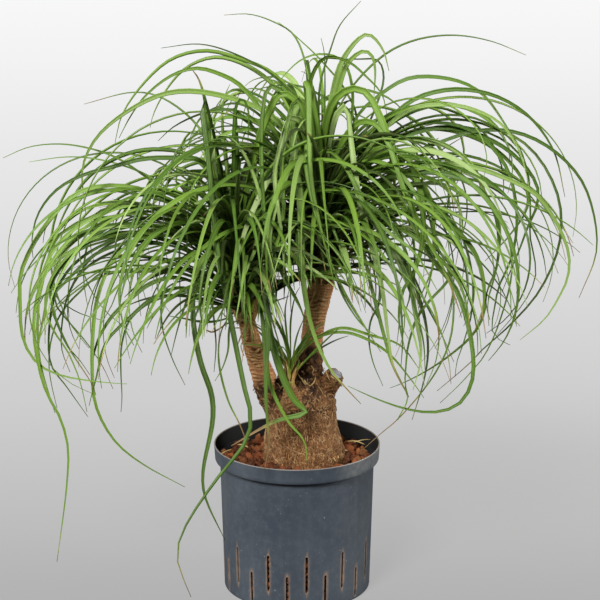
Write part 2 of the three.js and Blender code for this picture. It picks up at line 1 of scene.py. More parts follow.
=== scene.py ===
"""The looks of the potted ponytail palm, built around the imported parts.

All shapes are worked out in millimetres in the frame of the parts, and turned into metres
when a mesh is made. The rule that places the leaves is the one of the part's source.
"""

import math

import bmesh
import bpy
import numpy as np
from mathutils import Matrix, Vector, noise
from mathutils.bvhtree import BVHTree

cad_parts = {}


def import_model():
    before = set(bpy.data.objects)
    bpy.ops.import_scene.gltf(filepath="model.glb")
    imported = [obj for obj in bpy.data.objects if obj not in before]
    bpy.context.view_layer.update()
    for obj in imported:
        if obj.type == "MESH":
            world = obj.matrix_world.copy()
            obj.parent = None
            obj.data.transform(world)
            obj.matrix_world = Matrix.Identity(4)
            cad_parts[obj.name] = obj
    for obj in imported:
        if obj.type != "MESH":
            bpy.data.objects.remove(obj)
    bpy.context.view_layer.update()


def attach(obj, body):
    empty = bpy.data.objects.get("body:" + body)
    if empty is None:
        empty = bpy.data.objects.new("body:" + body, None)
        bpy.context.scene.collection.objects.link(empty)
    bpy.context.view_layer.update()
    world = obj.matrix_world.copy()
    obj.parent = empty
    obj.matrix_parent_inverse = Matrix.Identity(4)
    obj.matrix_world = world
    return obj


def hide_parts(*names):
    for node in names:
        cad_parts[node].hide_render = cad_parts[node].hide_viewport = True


MM = 0.001
GOLDEN_ANGLE = math.radians(137.508)

# The viewer of the reference picture, 600 by 600 points (millimetres)
EYE = np.array([4.0, -3780.0, 1509.0])
PITCH = math.radians(16.4)
PITCH_COS, PITCH_SIN = math.cos(PITCH), math.sin(PITCH)
FOCAL = 3015
MIDDLE = 300
SENSOR_WIDTH = 36

# The lower edge of the foliage in the reference picture, left to right (picture points)
SKIRT = [
    (0, 300), (40, 380), (95, 395), (150, 350), (200, 338), (240, 330), (266, 296), (300, 284),
    (345, 284), (370, 320), (400, 375), (450, 400), (500, 355), (560, 290), (600, 250),
]

# The upper edge of its dense foliage, which only single traced leaves rise above
HOOD = [
    (0, 330), (20, 262), (45, 220), (80, 208), (130, 194), (170, 158), (200, 118), (240, 84),
    (280, 64), (330, 54), (380, 76), (430, 98), (480, 110), (530, 138), (560, 185), (580, 240),
    (600, 300),
]

# Places in the picture where the backdrop shows through the foliage: middle and radius
OPEN_PLACES = [
    (135, 175, 16), (90, 290, 13), (88, 318, 14), (148, 318, 16), (112, 330, 12), (102, 250, 8),
    (60, 205, 8), (400, 335, 13), (372, 300, 11), (505, 122, 9), (575, 215, 12), (545, 140, 9),
]
OPEN_STATIONS = np.linspace(0, 1, 60)

# Room: strengths and places of the lights (metres), and the grey (0 to 255) that the floor's
# painted glow gives at heights in the picture
ROOM_LIGHT = 0.08
ROOM_COLOR = (0.98, 0.99, 1, 1)
KEY_POWER = 4.4
KEY_PLACE = (-0.95, -2.3, 2.3)
KEY_SPREAD = math.radians(18)
SIDE_LIGHTS = {"side_right": (72, (2.6, -0.1, 1.0)), "side_left": (50, (-2.6, 0.0, 1.0))}
SIDE_AIM = (0, 0, 0.2)
SIDE_SIZE = 1.6
SIDE_COLOR = (1, 0.98, 0.95)
FLOOR_REACH = 12000
FLOOR_GREYS = [(600, 175), (400, 202), (200, 226), (60, 242), (2, 247)]
FLOOR_LIT = 0.05
FLOOR_BASE = 0.05

# Pot
POT_HEIGHT = 200
RIM_RADIUS = 110
RIM_BAND = 20
RIM_TAPER = 1.5
SHOULDER = 4
NECK_RADIUS = 102
BASE_RADIUS = 97
BASE_ROUND = 4
POT_WALL = 2
BAND_FOOT = POT_HEIGHT - RIM_BAND
BAND_FOOT_RADIUS = RIM_RADIUS - RIM_TAPER
SHOULDER_LEVEL = BAND_FOOT - SHOULDER
FLOOR_RING = 60
POT_SIDES = 240
CREASE_ANGLE = math.radians(32)
SLOT_COUNT = 24
SLOT_WIDTH = 3.6
SLOT_END_STEPS = 7
LONG_SLOT = (24, 75)
SHORT_SLOT = (5, 47)
FIRST_LONG_SLOT = 7.5
CUTTER_REACH = (BASE_RADIUS - 8, BASE_RADIUS + 8)
STAIN_SPREAD = (1.9, 3.4)
# Painted highlight on the right end of the rim band, where the light from the right falls: its heading
# and spread
RIM_HIGHLIGHT_HEADING = math.radians(-22)
RIM_HIGHLIGHT_SPREAD = (0.72, 0.96)
# How far in from the outer wall the painted shade of the inside sets in
INSIDE_DEPTH = (0.9, 1.5)
WORN_LIP = (POT_HEIGHT - 1.0, POT_HEIGHT - 0.1)

# Clay granules
BED_LEVEL = 182
BED_DEPTH = 9
BED_SIDES = 96
PEBBLE_PITCH = 11.6
PEBBLE_RADIUS = (3.6, 7.8)
PEBBLE_LAYERS = ((0, 0), (1, 6.5))
PEBBLE_LEVEL = BED_LEVEL - 1.5
PEBBLE_JITTER = 1.8
SMALL_PEBBLES = 1.2
WALL_ROOM = 1.1
# Painted shade that darkens the lower layer of granules
LOWER_LAYER_SHADE = 0.5
PEBBLE_RISE = 2.4
PEBBLE_SQUASH = (0.72, 1.12)
PEBBLE_SEED = 5
# Lumps of a granule: their size, and how fast they follow along x, y and z
PEBBLE_LUMPS = [(0.10, (3.1, 0, 0)), (0.09, (0, 4.3, 0)), (0.07, (0, 0, 6.1)), (0.04, (9, 7, 0))]
CAUDEX_ROOM = (9, 51)
SLOT_PEBBLE_SIZE = 0.85
# Painted shade that darkens the granules behind the slots
SLOT_PEBBLE_SHADE = 0.2
# Dry scraps on the granules (picture points)
SCRAPS = [
    (337, 455), (342, 450), (331, 452), (334, 459), (226, 452), (243, 446), (356, 443),
    (362, 441), (247, 441),
]
SCRAP_LEVEL = BED_LEVEL + 8
SCRAP_SEED = 3

# Trunk sections: height, middle x, middle y, radius
CAUDEX = [
    (96, 9, 0, 24), (108, 9, 0, 42), (135, 9, 0, 53), (166, 9, 0, 56), (184, 9, 0, 54.5),
    (205, 8, 0, 51), (232, 6, 0, 46), (258, 5, 0, 43), (278, 4, 1, 37), (296, 6, 3, 26),
    (306, 8, 4, 12),
]
LEFT_STEM = [
    (226, -20, -3, 15), (262, -31, -6, 19), (306, -47, -12, 15.5), (341, -58, -16, 12.8),
    (378, -66, -20, 11),
]
RIGHT_STEM = [
    (262, 10, 4, 20), (300, 13, 8, 19), (333, 19, 12, 14.6), (366, 23, 13, 14.6),
    (400, 29, 14, 16.6), (419, 33, 15, 17.5),
]
CUT_BRANCH = [(256, 18, -2, 17), (279, 40, -4, 13.5), (298, 51, -11, 12.5)]
SHOOT_STEM = [
    (250, -2, -26, 15), (266, -4, -36, 13.5), (280, -8, -39, 10.2), (292, -9, -39, 7),
    (300, -9, -39, 5.8),
]
SECTION_SPACING = 3
ROOT_COUNT = 6
ROOT_UNEVENNESS = 0.3
ROOT_MIDDLE = 3
ROOT_PLACES = [(130, 40, 8), (84, 66, 5), (30, 80, 1.8)]
TRUNK_VOXEL = 1.25
TRUNK_SOFTENING = (0.6, 14)
SIDES = {"caudex": 72, "stem": 40, "branch": 32, "root": 14}
# The wound seal, and its profile: share of its radius, and height above the cut
SEAL_RADIUS = 8.0
SEAL_PROFILE = [
    (0.98, 0.2), (1.02, 0.9), (1.0, 1.7), (0.9, 2.3), (0.7, 2.4), (0.45, 2.1), (0.2, 2.4),
]
SEAL_SIDES = 48
# Waves of its edge: their height, how many there are, and how they shift inwards
SEAL_WAVES = [(0.035, 5, 4), (0.02, 11, 0)]

# Bark. Levels at which the stems' ringed bark sets in, and the places of the shoot and the stub
STEM_MARGIN = 5
LEFT_FORK = (276, 296)
RIGHT_FORK = (318, 340)
SHOOT_AXIS = (-8, -39)
SHOOT_REACH = ([262, 282], [17, 12.5])
SHOOT_LEVELS = (252, 266)
FRESH_LEVELS = (291, 300)
STUB_SIDE = (30, 38)
STUB_LEVELS = (268, 278)
STUB_TOP = 312
KNOBBY_LEVELS = (232, 262)
# Waves of the bark's relief: shift, closeness and how much longer they run upwards
BARK_WAVES = [(0, 0.035, 1), (50, 0.11, 1), (90, 0.30, 0.25), (20, 0.05, 1.6), (130, 0.16, 1)]
LUMP_RISE = 1.9
KNOB_RISE = 3.6
FIBRE_RISE = 0.7
SHOOT_RISE = 1.0
STUB_RISE = 0.5
SCAR_PITCH = 4.8
SHOOT_PITCH = 5.2
# Hollows in the fork, seen from the front, sunk and darkened with painted shade: x, height,
# radius, depth, darkness of the painted shade
SHADED_HOLLOWS = [
    (-20, 289, 10, 4.5, 1), (4, 303, 12, 4, 1), (15, 329, 15, 1, 0.62), (21, 282, 8, 4, 1),
    (13, 294, 8, 3, 1), (29, 275, 6, 2.5, 0.8), (-27, 272, 7, 2, 0.7), (-44, 290, 14, 0.5, 0.5),
    (-21, 279, 8, 3, 1),
]
HOLLOW_BACK = 16
HOLLOW_EDGE = (0.3, 1.2)
# Loose fibres and chips of bark: how many, and the limits of their places and sizes
FIBRES = {"count": 900, "seed": 41, "levels": (184, 268), "axis": 50, "points": 7, "step": 1.7,
          "heading": (0.2, 2.9), "bend": (-0.6, 0.6), "lift": (0.1, 0.6), "radius": (0.25, 0.5)}
FLAKES = {"count": 130, "seed": 17, "level": 284, "spread": 14, "levels": (236, 322),
          "long": (2, 6), "wide": (1, 3), "lift": (0.5, 3), "thick": 0.5}
# The bark is found by a line from outside towards the middle of the fork
FORK_MIDDLE = 7
OUTSIDE = 120
# Three-sided threads with thin ends, and the directions that the rings of tubes are turned by
THREAD_TURNS = (0, 2.1, 4.2)
THREAD_TIP = 0.35
THREAD_LEAN = (-0.31, -0.22, -0.92)
BRANCH_LEAN = (0, 1, 0.1)
# Pale straws at the foot of the left crown: radius, and the picture points passed
FOOT_STRAWS = [
    (0.6, "238,284 241,291 244,298 245,310"),
    (0.7, "243,304 244,298 249,297 253,300 256,312 254,322"),
    (1.0, "252,317 247,323 242,333 238,344"), (0.8, "250,304 254,309 252,316 249,324 244,339"),
    (1.2, "242,320 234,322 226,324 219,329 212,332 206,330"),
    (0.8, "245,339 241,345 242,351 244,356"), (1.0, "251,325 247,321 241,320 236,324"),
    (0.9, "247,331 240,328 233,328"), (0.7, "247,316 252,320 255,326 252,331"),
    (0.6, "250,322 258,325 266,330"),
]
FOOT_STRAW_DEPTHS = (-31, -38)
# Pale straws in the fork, in the same form
FORK_STRAWS = [
    (0.7, "295,369 298,375 302,381 306,386"), (0.9, "304,380 306,384 310,386 314,382 315,377"),
    (0.8, "301,378 304,382 309,385"), (1.0, "298,356 299,359 300,363"),
    (0.6, "281,389 284,386 287,385"), (0.6, "263,398 266,401 268,405"),
    (0.7, "326,371 328,376 330,380"), (0.6, "311,366 313,370 312,374"),
    (0.5, "276,383 279,386 281,390"), (0.5, "318,386 321,390 323,395"),
]

# Leaves traced in the reference picture: share of the leafy column below the root, width,
# depth of the tip (minus is towards the viewer), the picture points passed, and for some
# where the dry tip starts and how much lighter the leaf is. The finer ones at the end of
# each list are in the looks alone.
TRACED_LEFT = [
    (0.8, 3, 50, "225,190 201,130 163,98 134,92 84,104"),
    (0.5, 3, -20, "210,215 166,191 119,159 92,149 61,144 29,147 3,158"),
    (0.45, 3, 40, "200,220 150,177 101,160 67,157 29,162"),
    (0.75, 6, -60, "225,205 201,161 172,158 142,159 115,166 80,176 55,191 38,214 32,239 33,258"),
    (0.7, 6, 20, "222,195 191,157 163,150 134,152 107,163 84,182 63,216 50,254"),
    (0.4, 6, -90, "215,245 150,192 84,190 48,222 21,272 20,300 23,339 36,362 56,374 100,382 127,384"),
    (0.3, 5, -110, "215,255 150,215 90,225 50,265 34,320 45,388 60,417 68,446 67,484 57,562"),
    (0.2, 6, -80, "225,275 180,238 130,244 100,290 93,384 98,411 116,442 143,464 185,487"),
    (0.1, 7.5, -130,
     "232,300 212,275 197,285 194,319 201,362 212,395 213,420 203,473 205,496 225,540", None, -0.55),
    (0.9, 7.5, -190,
     "222,180 209,118 203,97 203,112 208,150 217,240 227,300 236,346 245,390 251,414 250,430"
     " 241,450 223,471 183,531 177,558 191,597", None, -0.3),
    (0.8, 9.5, -84,
     "240,253 250,262 260,286 266,309 269,332 283,378 295,401 306,412 276,421 231,446", 0.84),
    (0.55, 6, -96, "246,268 255,285 262,320 267,371 272,390 290,424 301,436 306,447 306,463"),
    (0.65, 6, -118, "247,255 258,270 266,310 268,340 266,367 266,402 268,429 269,443 264,471", 0.82),
    (0.15, 3, -70, "235,310 222,330 219,360 228,400 240,425 248,446", 0.8),
    # Finer
    (0.6, 4, -30, "190,215 150,197 130,193 110,190 94,190 82,196 69,200 57,209 50,220 45,230 43,243"),
    (0.5, 4, 10, "200,235 160,212 130,205 102,205 79,212 65,222 52,245 44,280 38,310 36,344 38,364"),
    (0.55, 6, -50,
     "200,228 165,210 130,207 113,208 102,211 93,217 79,222 68,229 59,235 53,246 47,260 41,277 36,300"),
    (0.45, 7, -70, "205,245 165,228 130,226 110,226 98,229 83,234 64,249 47,267 34,288 27,309 24,345"),
    (0.4, 3, 20,
     "205,250 165,236 130,235 102,242 86,247 73,254 63,262 55,272 52,285 57,298 67,306 79,313"
     " 94,318 104,321"),
    (0.35, 3, -10,
     "205,256 170,240 130,237 113,243 98,252 86,265 76,278 70,292 68,304 68,317 71,331 76,343 79,349"),
    (0.15, 4, -60, "215,285 170,272 130,272 102,272 79,273 54,274"),
    (0.3, 4, -90,
     "190,245 140,232 90,240 60,265 47,290 46,313 57,336 67,350 73,363 79,378 83,393 87,412"),
    (0.35, 3, -40, "200,240 150,222 100,232 68,262 55,290 56,305 68,321 82,337 94,353 103,367 113,389"),
    (0.2, 3, 0,
     "215,280 170,262 130,262 100,274 82,290 68,304 59,317 53,333 50,347 49,366 51,382 57,408"),
    (0.12, 5, -90,
     "215,300 180,288 150,300 130,317 119,327 108,339 101,354 99,364 96,378 92,393 89,406"),
    (0.15, 6, -60, "210,290 175,278 150,284 130,299 113,315 104,328 98,340 94,353 92,366 92,381"),
    (0.1, 3, -20, "215,305 180,296 150,303 130,320 123,339 121,352 121,374 122,397 121,412"),
    (0.2, 3, 10, "200,262 160,250 135,262 118,290 112,305 104,319 99,330"),
    (0.25, 5, -70, "205,262 150,242 100,252 68,280 53,297 53,311 60,330 68,347 79,359 90,375"),
    (0.8, 8, -90, "215,200 208,160 214,142 223,134 233,139 242,149 252,168 263,204 273,243 280,282"),
    (0.9, 5, -120, "237,275 233,243 247,229 260,210 281,188"),
    (0.85, 9, -130, "226,215 212,196 211,206 215,220 221,262 226,286 233,322"),
    (0.9, 8, -120, "240,240 236,200 224,196 214,215 214,240 221,285"),
    (0.85, 7, -110, "240,245 250,215 259,225 257,245 246,272 240,292"),
    (0.8, 5, -60, "248,240 262,232 271,250 281,272 298,302 309,332"),
    (0.6, 3, -90, "244,262 254,262 263,280 271,316 285,362"),
    (0.75, 3.5, -50, "246,245 268,236 279,262 289,282 291,312"),
    (0.7, 4, -70, "246,250 262,244 274,270 270,300 281,334"),
    (0.9, 6, -30, "245,235 262,222 276,240 284,270 284,300"),
    (0.5, 5, -20, "246,275 262,262 274,276 276,310"),
    (0.7, 7, -40, "230,225 226,210 225,240 227,264 231,317"),
    (0.95, 7, -90, "244,215 250,185 258,195 264,222 278,265 290,286"),
    (0.6, 6, -70, "236,270 244,250 258,249 266,262 272,290 277,318"),
    (0.5, 6, -60, "238,280 250,268 256,280 259,300 258,322"),
    (0.4, 5, -80, "228,285 216,268 205,275 200,300 203,332"),
    (0.3, 5, -90, "226,296 210,283 196,292 188,312 186,338"),
    (0.5, 5.5, -70, "200,235 150,205 100,215 62,240 44,270 39,300 38,340 41,365 55,413"),
    (0.45, 5, -40, "205,240 150,212 105,222 68,248 51,282 44,317 38,349 40,375 59,417"),
    (0.4, 5, -80, "205,246 160,226 110,232 72,256 52,284 52,305 68,346 92,384 96,395"),
    (0.35, 4, -20, "205,250 160,232 110,242 74,264 56,292 49,330 51,365 66,386 88,417"),
    (0.3, 4, 10, "205,262 165,245 120,250 84,270 68,296 62,325 62,350 70,372"),
    (0.9, 9, 0, "218,230 212,180 209,147 208,131 207,116 204,97 198,78 190,67"),
    (0.85, 9, -20, "222,230 216,190 214,165 213,140 212,116"),
    (0.8, 6, -20, "230,230 233,170 234,125 236,106 242,98 248,108 248,142"),
    (0.75, 6, 10, "220,235 213,180 212,140 216,121 226,113 238,106"),
    (0.7, 5, -60, "225,235 215,180 205,150 201,146 212,142 228,143 243,149"),
    (0.85, 7, 30, "225,230 208,170 205,130 207,105 204,92"),
    (0.9, 6, 40, "235,225 226,160 222,120 224,98 230,84"),
    (0.95, 5, 20, "232,220 238,170 235,124 236,101 240,93"),
    (0.9, 8, 0, "236,230 238,170 237,138 236,113 236,93"),
    (0.85, 9, 10, "222,230 218,190 216,151 213,129 207,104"),
    (0.2, 2.4, -60, "226,300 218,290 213,300 214,320 216,345 214,372"),
    (0.15, 3, -70, "232,300 231,318 229,333 228,351 222,369 215,381"),
    (0.3, 3, -60, "222,280 203,272 192,285 185,306 178,328 171,356"),
    (0.2, 2.4, -40, "222,292 190,280 165,290 162,324 172,358 185,385"),
    (0.1, 3.5, -50, "228,318 212,322 196,321 182,318 169,316"),
    (0.95, 10, -30, "235,225 250,170 265,120 280,94 290,95 298,106 303,121 305,140 306,165 308,190"),
]
TRACED_RIGHT = [
    (0.8, 7, -40, "290,140 262,111 230,98 191,91 163,94 134,107 103,130 88,151 82,172 86,216"),
    (0.9, 6, 30, "303,120 277,77 239,59 205,51 172,59 145,82 122,115 115,143"),
    (0.85, 6, 60, "298,130 268,80 220,57 187,67 166,90 153,115 150,128"),
    (0.7, 6, -20, "285,150 241,86 220,74 197,68 172,75 145,96 130,117 119,138"),
    (0.95, 3, 0, "306,115 275,77 240,56 201,44 161,48"),
    (0.97, 3, 50, "312,100 295,36 272,21 249,14 224,15"),
    (0.9, 10, -140, "312,150 302,98 295,106 293,150 300,200 303,280 313,332 330,369 345,387 361,404"),
    (0.5, 5, -80, "320,215 323,228 330,261 344,292 367,330 381,352"),
    (0.75, 7, -130, "300,140 283,92 268,86 262,110 261,160 268,240 283,278 299,307 305,319"),
    (0.6, 9, -130, "330,150 339,112 347,106 352,140 358,190 373,250 382,286 388,334 394,368 409,397"),
    (0.4, 7, -90,
     "345,188 370,178 400,205 430,257 457,292 473,357 470,387 457,405 434,412 407,409 377,399 348,386"),
    (0.8, 10, -110, "325,129 336,98 352,88 367,92 380,115 390,143 403,186 422,230 445,272 462,318"),
    (0.98, 3, 20, "319,92 331,48 340,25 361,1"),
    (0.88, 6, -40, "308,140 310,80 325,57 348,61 367,77 382,94 387,115"),
    (0.92, 9, 10, "326,130 332,96 344,57 367,34 382,48 389,71"),
    (0.94, 8.5, -25, "330,140 337,96 348,63 363,51 371,54 375,67 374,96"),
    (0.9, 3, 40, "335,120 350,90 384,55 415,40 453,35 491,41 526,55"),
    (0.7, 6, 30, "345,150 359,115 377,98 405,80 430,77 463,83 484,96 507,128 522,153 530,182"),
    (0.6, 6, 0, "350,165 390,119 415,99 445,90 472,90 501,98 530,117 554,151 565,197"),
    (0.5, 6, -50, "350,178 396,119 419,107 449,105 472,109 501,124 520,153 530,191"),
    (0.45, 5, -20, "350,195 400,160 447,140 476,131 510,131 539,141 568,163 587,191 597,249 579,298"),
    (0.3, 6, -80, "345,212 400,175 460,165 510,180 539,197 568,249 568,277 558,299 545,319 520,340"),
    (0.35, 3, -60, "360,205 410,215 448,270 452,330 437,370 400,417 379,435 360,452", 0.8),
    # Finer
    (0.6, 5, -30, "290,170 262,140 247,121 233,110 221,110 204,113 190,118 172,128 158,141"),
    (0.65, 3.5, 20, "290,160 262,128 247,114 233,110 217,109 202,117 195,128 190,146"),
    (0.8, 4.5, 30, "305,150 285,120 266,100 251,92 239,89 231,90 224,96 219,105"),
    (0.9, 4, 50, "335,190 345,150 355,122 344,106 328,99 306,88 290,85 268,87 257,90 250,97"),
    (0.92, 4, 40, "325,170 318,120 300,90 289,83 276,77 259,78 251,81 245,86"),
    (0.9, 4, 20, "330,185 350,130 352,85 342,60 320,54 301,60 282,78 272,92"),
    (0.8, 5, 10, "300,150 275,118 258,100 246,93 237,90 228,93 218,104 210,118"),
    (0.75, 4, 30, "300,170 270,125 240,104 218,107 202,116 191,136 189,149"),
    (0.6, 6, -10,
     "350,180 400,140 450,128 500,145 528,170 538,190 536,208 528,226 520,248 510,272 502,292"),
    (0.45, 6.5, -70, "350,200 400,175 450,175 480,190 494,210 499,240 496,270 488,288 486,304 490,320"),
    (0.65, 3, 20,
     "350,178 420,130 480,130 520,155 530,200 530,236 534,256 536,272 532,288 520,308 496,336"),
    (0.4, 7, -80, "350,215 400,200 440,215 462,235 474,250 481,266 485,288 482,312 474,332"),
    (0.3, 6, -90, "345,235 390,225 425,245 447,266 460,284 468,312 470,340"),
    (0.7, 9, -50, "312,205 300,172 294,155 288,132 281,120 274,115"),
    (0.85, 8, -120, "308,180 303,110 296,98 290,108 281,163 283,217 272,263 268,300"),
    (0.9, 8, -150, "320,190 312,130 306,80 308,84 309,130 311,180 318,217 329,262 336,290"),
    (0.8, 7, -140, "322,185 318,160 328,150 345,165 358,190 368,212 388,232 414,252 437,290"),
    (0.75, 6, -110, "324,190 320,168 324,203 340,247 347,277 352,300"),
    (0.88, 9, -150, "312,170 300,120 288,118 280,143 274,175 279,217 283,250 284,285"),
    (0.85, 8, -130, "315,165 306,118 297,130 290,163 277,203 270,243 279,282"),
    (0.8, 8.5, -150, "318,200 308,140 306,160 313,203 323,237 334,272"),
    (0.75, 8, -110, "335,160 360,122 376,124 388,142 398,172 412,210 420,246"),
    (0.6, 6, -120, "322,230 308,205 300,217 297,243 300,286"),
    (0.5, 7, -90, "330,245 350,218 366,226 377,262 383,284"),
    (0.95, 7, 0, "322,195 322,160 318,125 313,95 312,75"),
    (0.97, 2.5, 10, "326,190 328,150 325,118 325,84 324,51 321,38"),
    (0.96, 3, 40, "345,190 356,150 356,112 348,95 340,82 327,67 314,53 301,41 290,31 278,22"),
    (0.93, 3.5, 60, "340,185 375,110 384,76 378,60 359,59 340,59 324,58 313,58"),
    (0.7, 6, 0,
     "345,190 385,185 411,200 436,218 459,235 471,249 478,263 482,278 484,294 483,315 472,335"
     " 451,354 431,368 417,376 405,382 390,388"),
    (0.75, 6, -20,
     "345,180 400,140 450,148 475,170 484,192 492,205 498,219 500,233 499,251 497,266 492,286"
     " 488,301 489,326"),
    (0.8, 6, 20, "350,170 420,130 480,140 520,175 528,205 509,236 498,248 485,261"),
    (0.8, 5, -20,
     "350,170 420,125 470,130 505,165 516,205 516,235 510,262 499,286 495,305 492,331 497,338 510,345"),
    (0.5, 8, -100,
     "335,225 360,210 378,228 390,249 400,263 406,278 412,292 415,310 419,334 421,347 420,365 413,390"),
    (0.7, 8, -90,
     "335,200 375,150 405,155 420,190 423,209 423,233 421,251 412,276 405,286 399,310 400,327 406,354"),
    (0.65, 6, -60, "340,195 385,165 415,180 430,200 434,232 435,247 433,266 428,280 422,293 419,308"),
    (0.4, 4, -70,
     "345,230 400,220 440,245 450,275 430,300 418,316 408,346 406,365 405,384 408,398 397,420"),
    (0.3, 3, -40, "350,245 385,240 410,270 427,306 436,323 443,337 450,353 454,362"),
    (0.35, 5, -90, "340,240 358,245 372,290 384,335 391,360 395,370 402,384 408,397 398,420"),
    (0.85, 4, 30,
     "350,165 440,120 520,140 556,190 560,240 540,290 510,325 497,337 484,348 470,363 455,376 437,391"),
    (0.6, 3, 10, "360,185 430,170 490,200 512,260 500,320 484,356 470,373 459,385 440,403"),
    (0.55, 4, -30, "355,205 410,190 455,225 472,275 471,315 466,334 462,347 457,361 455,377"),
    (0.3, 4, -60, "350,245 395,255 420,300 428,350 423,384 420,394 412,420"),
    (0.5, 5, -100, "340,225 370,222 395,250 410,290 421,330 424,346 425,370"),
    (0.3, 3, -60, "345,245 372,262 380,290 379,304 371,320 369,340 373,362 383,386"),
    (0.35, 3, -80, "328,235 329,250 337,280 345,300 365,328 385,340"),
]
TRACED_SHOOT = [
    (0.6, 4, -55, "301,350 318,338 330,331 345,328 370,335 400,345 420,370"),
    (0.5, 4, -72, "302,352 325,335 350,333 385,350 410,378 424,398"),
    # Finer
    (0.5, 3, -45, "289,360 286,330 285,310 289,290"),
    (0.6, 3, -40, "291,360 291,320 296,294 300,287"),
    (0.3, 3, -50, "288,362 275,340 271,326"),
    (0.7, 2.6, -35, "293,358 297,336 304,318"),
    (0.4, 3, -30, "287,364 279,345 268,330 262,322"),
    (0.8, 2.6, -25, "290,362 283,330 276,308 272,296"),
]

# Crowns, as in the part's source. The last five say how many loose leaves of each kind of
# growth the looks add.
CROWNS = {
    "left": {"foot": np.array([-66.0, -20, 378]), "top": np.array([-84.0, -20, 474]), "radius": 13,
             "stem": 11.3, "leaves": [58], "seed": 29, "traced": TRACED_LEFT,
             "fine": 16, "front": 20, "low": 28, "upper": 42, "inner": 64},
    "right": {"foot": np.array([33.0, 15, 419]), "top": np.array([31.0, 15, 519]), "radius": 17.5,
              "stem": 17.3, "leaves": [64], "seed": 71, "traced": TRACED_RIGHT,
              "fine": 34, "front": 9, "low": 0, "upper": 36, "inner": 84},
}
# The side shoot's tuft; its second round of leaves is in the looks alone
TUFT = {"foot": np.array([-9.0, -39, 300]), "top": np.array([-9.0, -39, 316]), "radius": 5.2,
        "stem": 6, "leaves": [10, 8], "seed": 13, "traced": TRACED_SHOOT}
CORE_TAPER = 0.62
CORE_EASE = 1.5
CORE_FOOT = 0.8
CORE_FOOT_END = 0.16
CORE_TOP = 0.5
CORE_SINK = 4
CORE_SIDES = 24
ROOTED = (0.06, 0.96)
ROOT_SINK = 5

# The measures of each kind of leaf, fixed or between two limits: steepness where it starts
# ("launch" for the lowest and highest root, "lean" either way), bend, length and so on.
# Crown leaves and those of the tuft are as in the part's source, but crown leaves 15% narrower.
MEASURES = ("lean", "droop", "length", "sway", "stiff", "width", "tone")
CROWN_LEAF = {"launch": (math.radians(15), math.radians(78)), "lean": (-0.16, 0.16),
              "droop": (1.6, 2.8), "length": (430, 700), "sway": (-0.3, 0.3),
              "stiff": (0.75, 1.15), "width": (5.1, 7.7)}
TUFT_LEAF = {"launch": (0.85, 1.5), "lean": 0, "droop": (-0.9, 0.2), "length": (62, 105),
             "sway": 0, "stiff": 1.3, "width": (3.4, 4.6)}
SHORTEST_LEAF = 200
TIP_LEVEL = (250, 350)
CROWN_REACH = 385
DEPTH_REACH = 335
TURN_JITTER = (-0.22, 0.22)
LAUNCH_EASE = 0.75
YOUNGEST_SHARE = 0.93
YOUNGEST_LENGTH = 0.75
DEPTH_EASE = 1.6
FIT_STEPS = 40
SHORTEN = 0.95
STIFFEN = 0.92
STEEPEN = 0.03
STEEPEST = 1.5
SKIRT_FREE_STEPS = 3
ROUTE_STEPS = 16

# The loose leaves that only the looks have: where they are rooted, the headings they take, seen
# from above, and how far they may hang below the foliage's lower edge in the picture
GROWTH = {
    "fine": {"share": (0, 1), "turn": (-50, 230), "slack": 0, "launch": (0.05, 1.25),
             "lean": (-0.25, 0.25), "droop": (1.0, 2.4), "length": (280, 560),
             "sway": (-0.4, 0.4), "stiff": (1.0, 2.0), "width": (4, 9.5), "tone": 0},
    "front": {"share": (0.15, 0.95), "turn": (-145, -35), "slack": 8, "launch": (0.85, 1.4),
              "lean": (-0.15, 0.15), "droop": (1.2, 1.5), "length": (180, 340),
              "sway": (-0.25, 0.25), "stiff": (0.8, 1.3), "width": (5, 10), "tone": 0.06},
    "low": {"share": (0, 0.6), "turn": (-175, -68), "slack": 36, "launch": (0.4, 1.1),
            "lean": (-0.2, 0.2), "droop": (1.1, 1.5), "length": (120, 260), "sway": (-0.3, 0.3),
            "stiff": (1.0, 1.6), "width": (3, 7.5), "tone": 0},
    "upper": {"share": (0.5, 1), "turn": (-50, 230), "slack": 0, "launch": (1.0, 1.45),
              "lean": (-0.14, 0.14), "droop": (1.0, 2.6), "length": (240, 480),
              "sway": (-0.8, 0.8), "stiff": (0.9, 1.8), "width": (4, 10.5), "tone": 0},
    # The inner leaves' low tone is painted shade for the crown's shaded heart
    "inner": {"share": (0, 1), "turn": (0, 360), "slack": 0, "launch": (0.5, 1.35),
              "lean": (-0.2, 0.2), "droop": (-0.6, 0.9), "length": (110, 260),
              "sway": (-0.4, 0.4), "stiff": (1.4, 1.4), "width": (6, 11), "tone": -0.9},
}
LOW_ROOTS = 0.8
NARROW_BLADES = 1.3
KINKED_PART = 0.07
KINK_STEPS = (7, 13)
KINK_SHRINK = 0.55
KINK_DROP = 0.6

# Leaf blades
BLADE_STATIONS = np.concatenate([[0, 0.008, 0.02, 0.035, 0.055], np.linspace(0.08, 1, 34)])
LOOSE_STATIONS = np.concatenate([[0, 0.02, 0.05], np.linspace(0.1, 1, 24)])
# A blade's section: share of the half width, share of the gutter's height, and 1 underneath
SECTION = np.array([
    (-1, 1, 0), (-0.55, 0.3, 0), (0, 0, 0), (0.55, 0.3, 0), (1, 1, 0), (0.5, 0.25, 1), (0, 0, 1),
    (-0.5, 0.25, 1),
])
GUTTER = 0.5
TWIST = 1.3
TRACED_TWIST = 0.5
FACING = 0.18
FACING_SPAN = (0.08, 0.4)
BLADE_THICKNESS = 0.55
EDGE_THICKNESS = 0.35
THICK_REACH = 5
TIP_WIDTH = 0.7
FLARE = 1.5
FLARE_END = 0.05
PINCH = 0.12
PINCH_END = 0.3
TAPER_START = 0.5
TAPER_EASE = 1.35
TONE_OF_WIDTH = ((3, 6, 10), (0.36, 0.5, 0.67))
TONE_SPREAD = 0.27
DRY_TIPS = (0.9, 0.98)
DRY_TIP_PART = 0.3
NO_DRY_TIP = 1.05

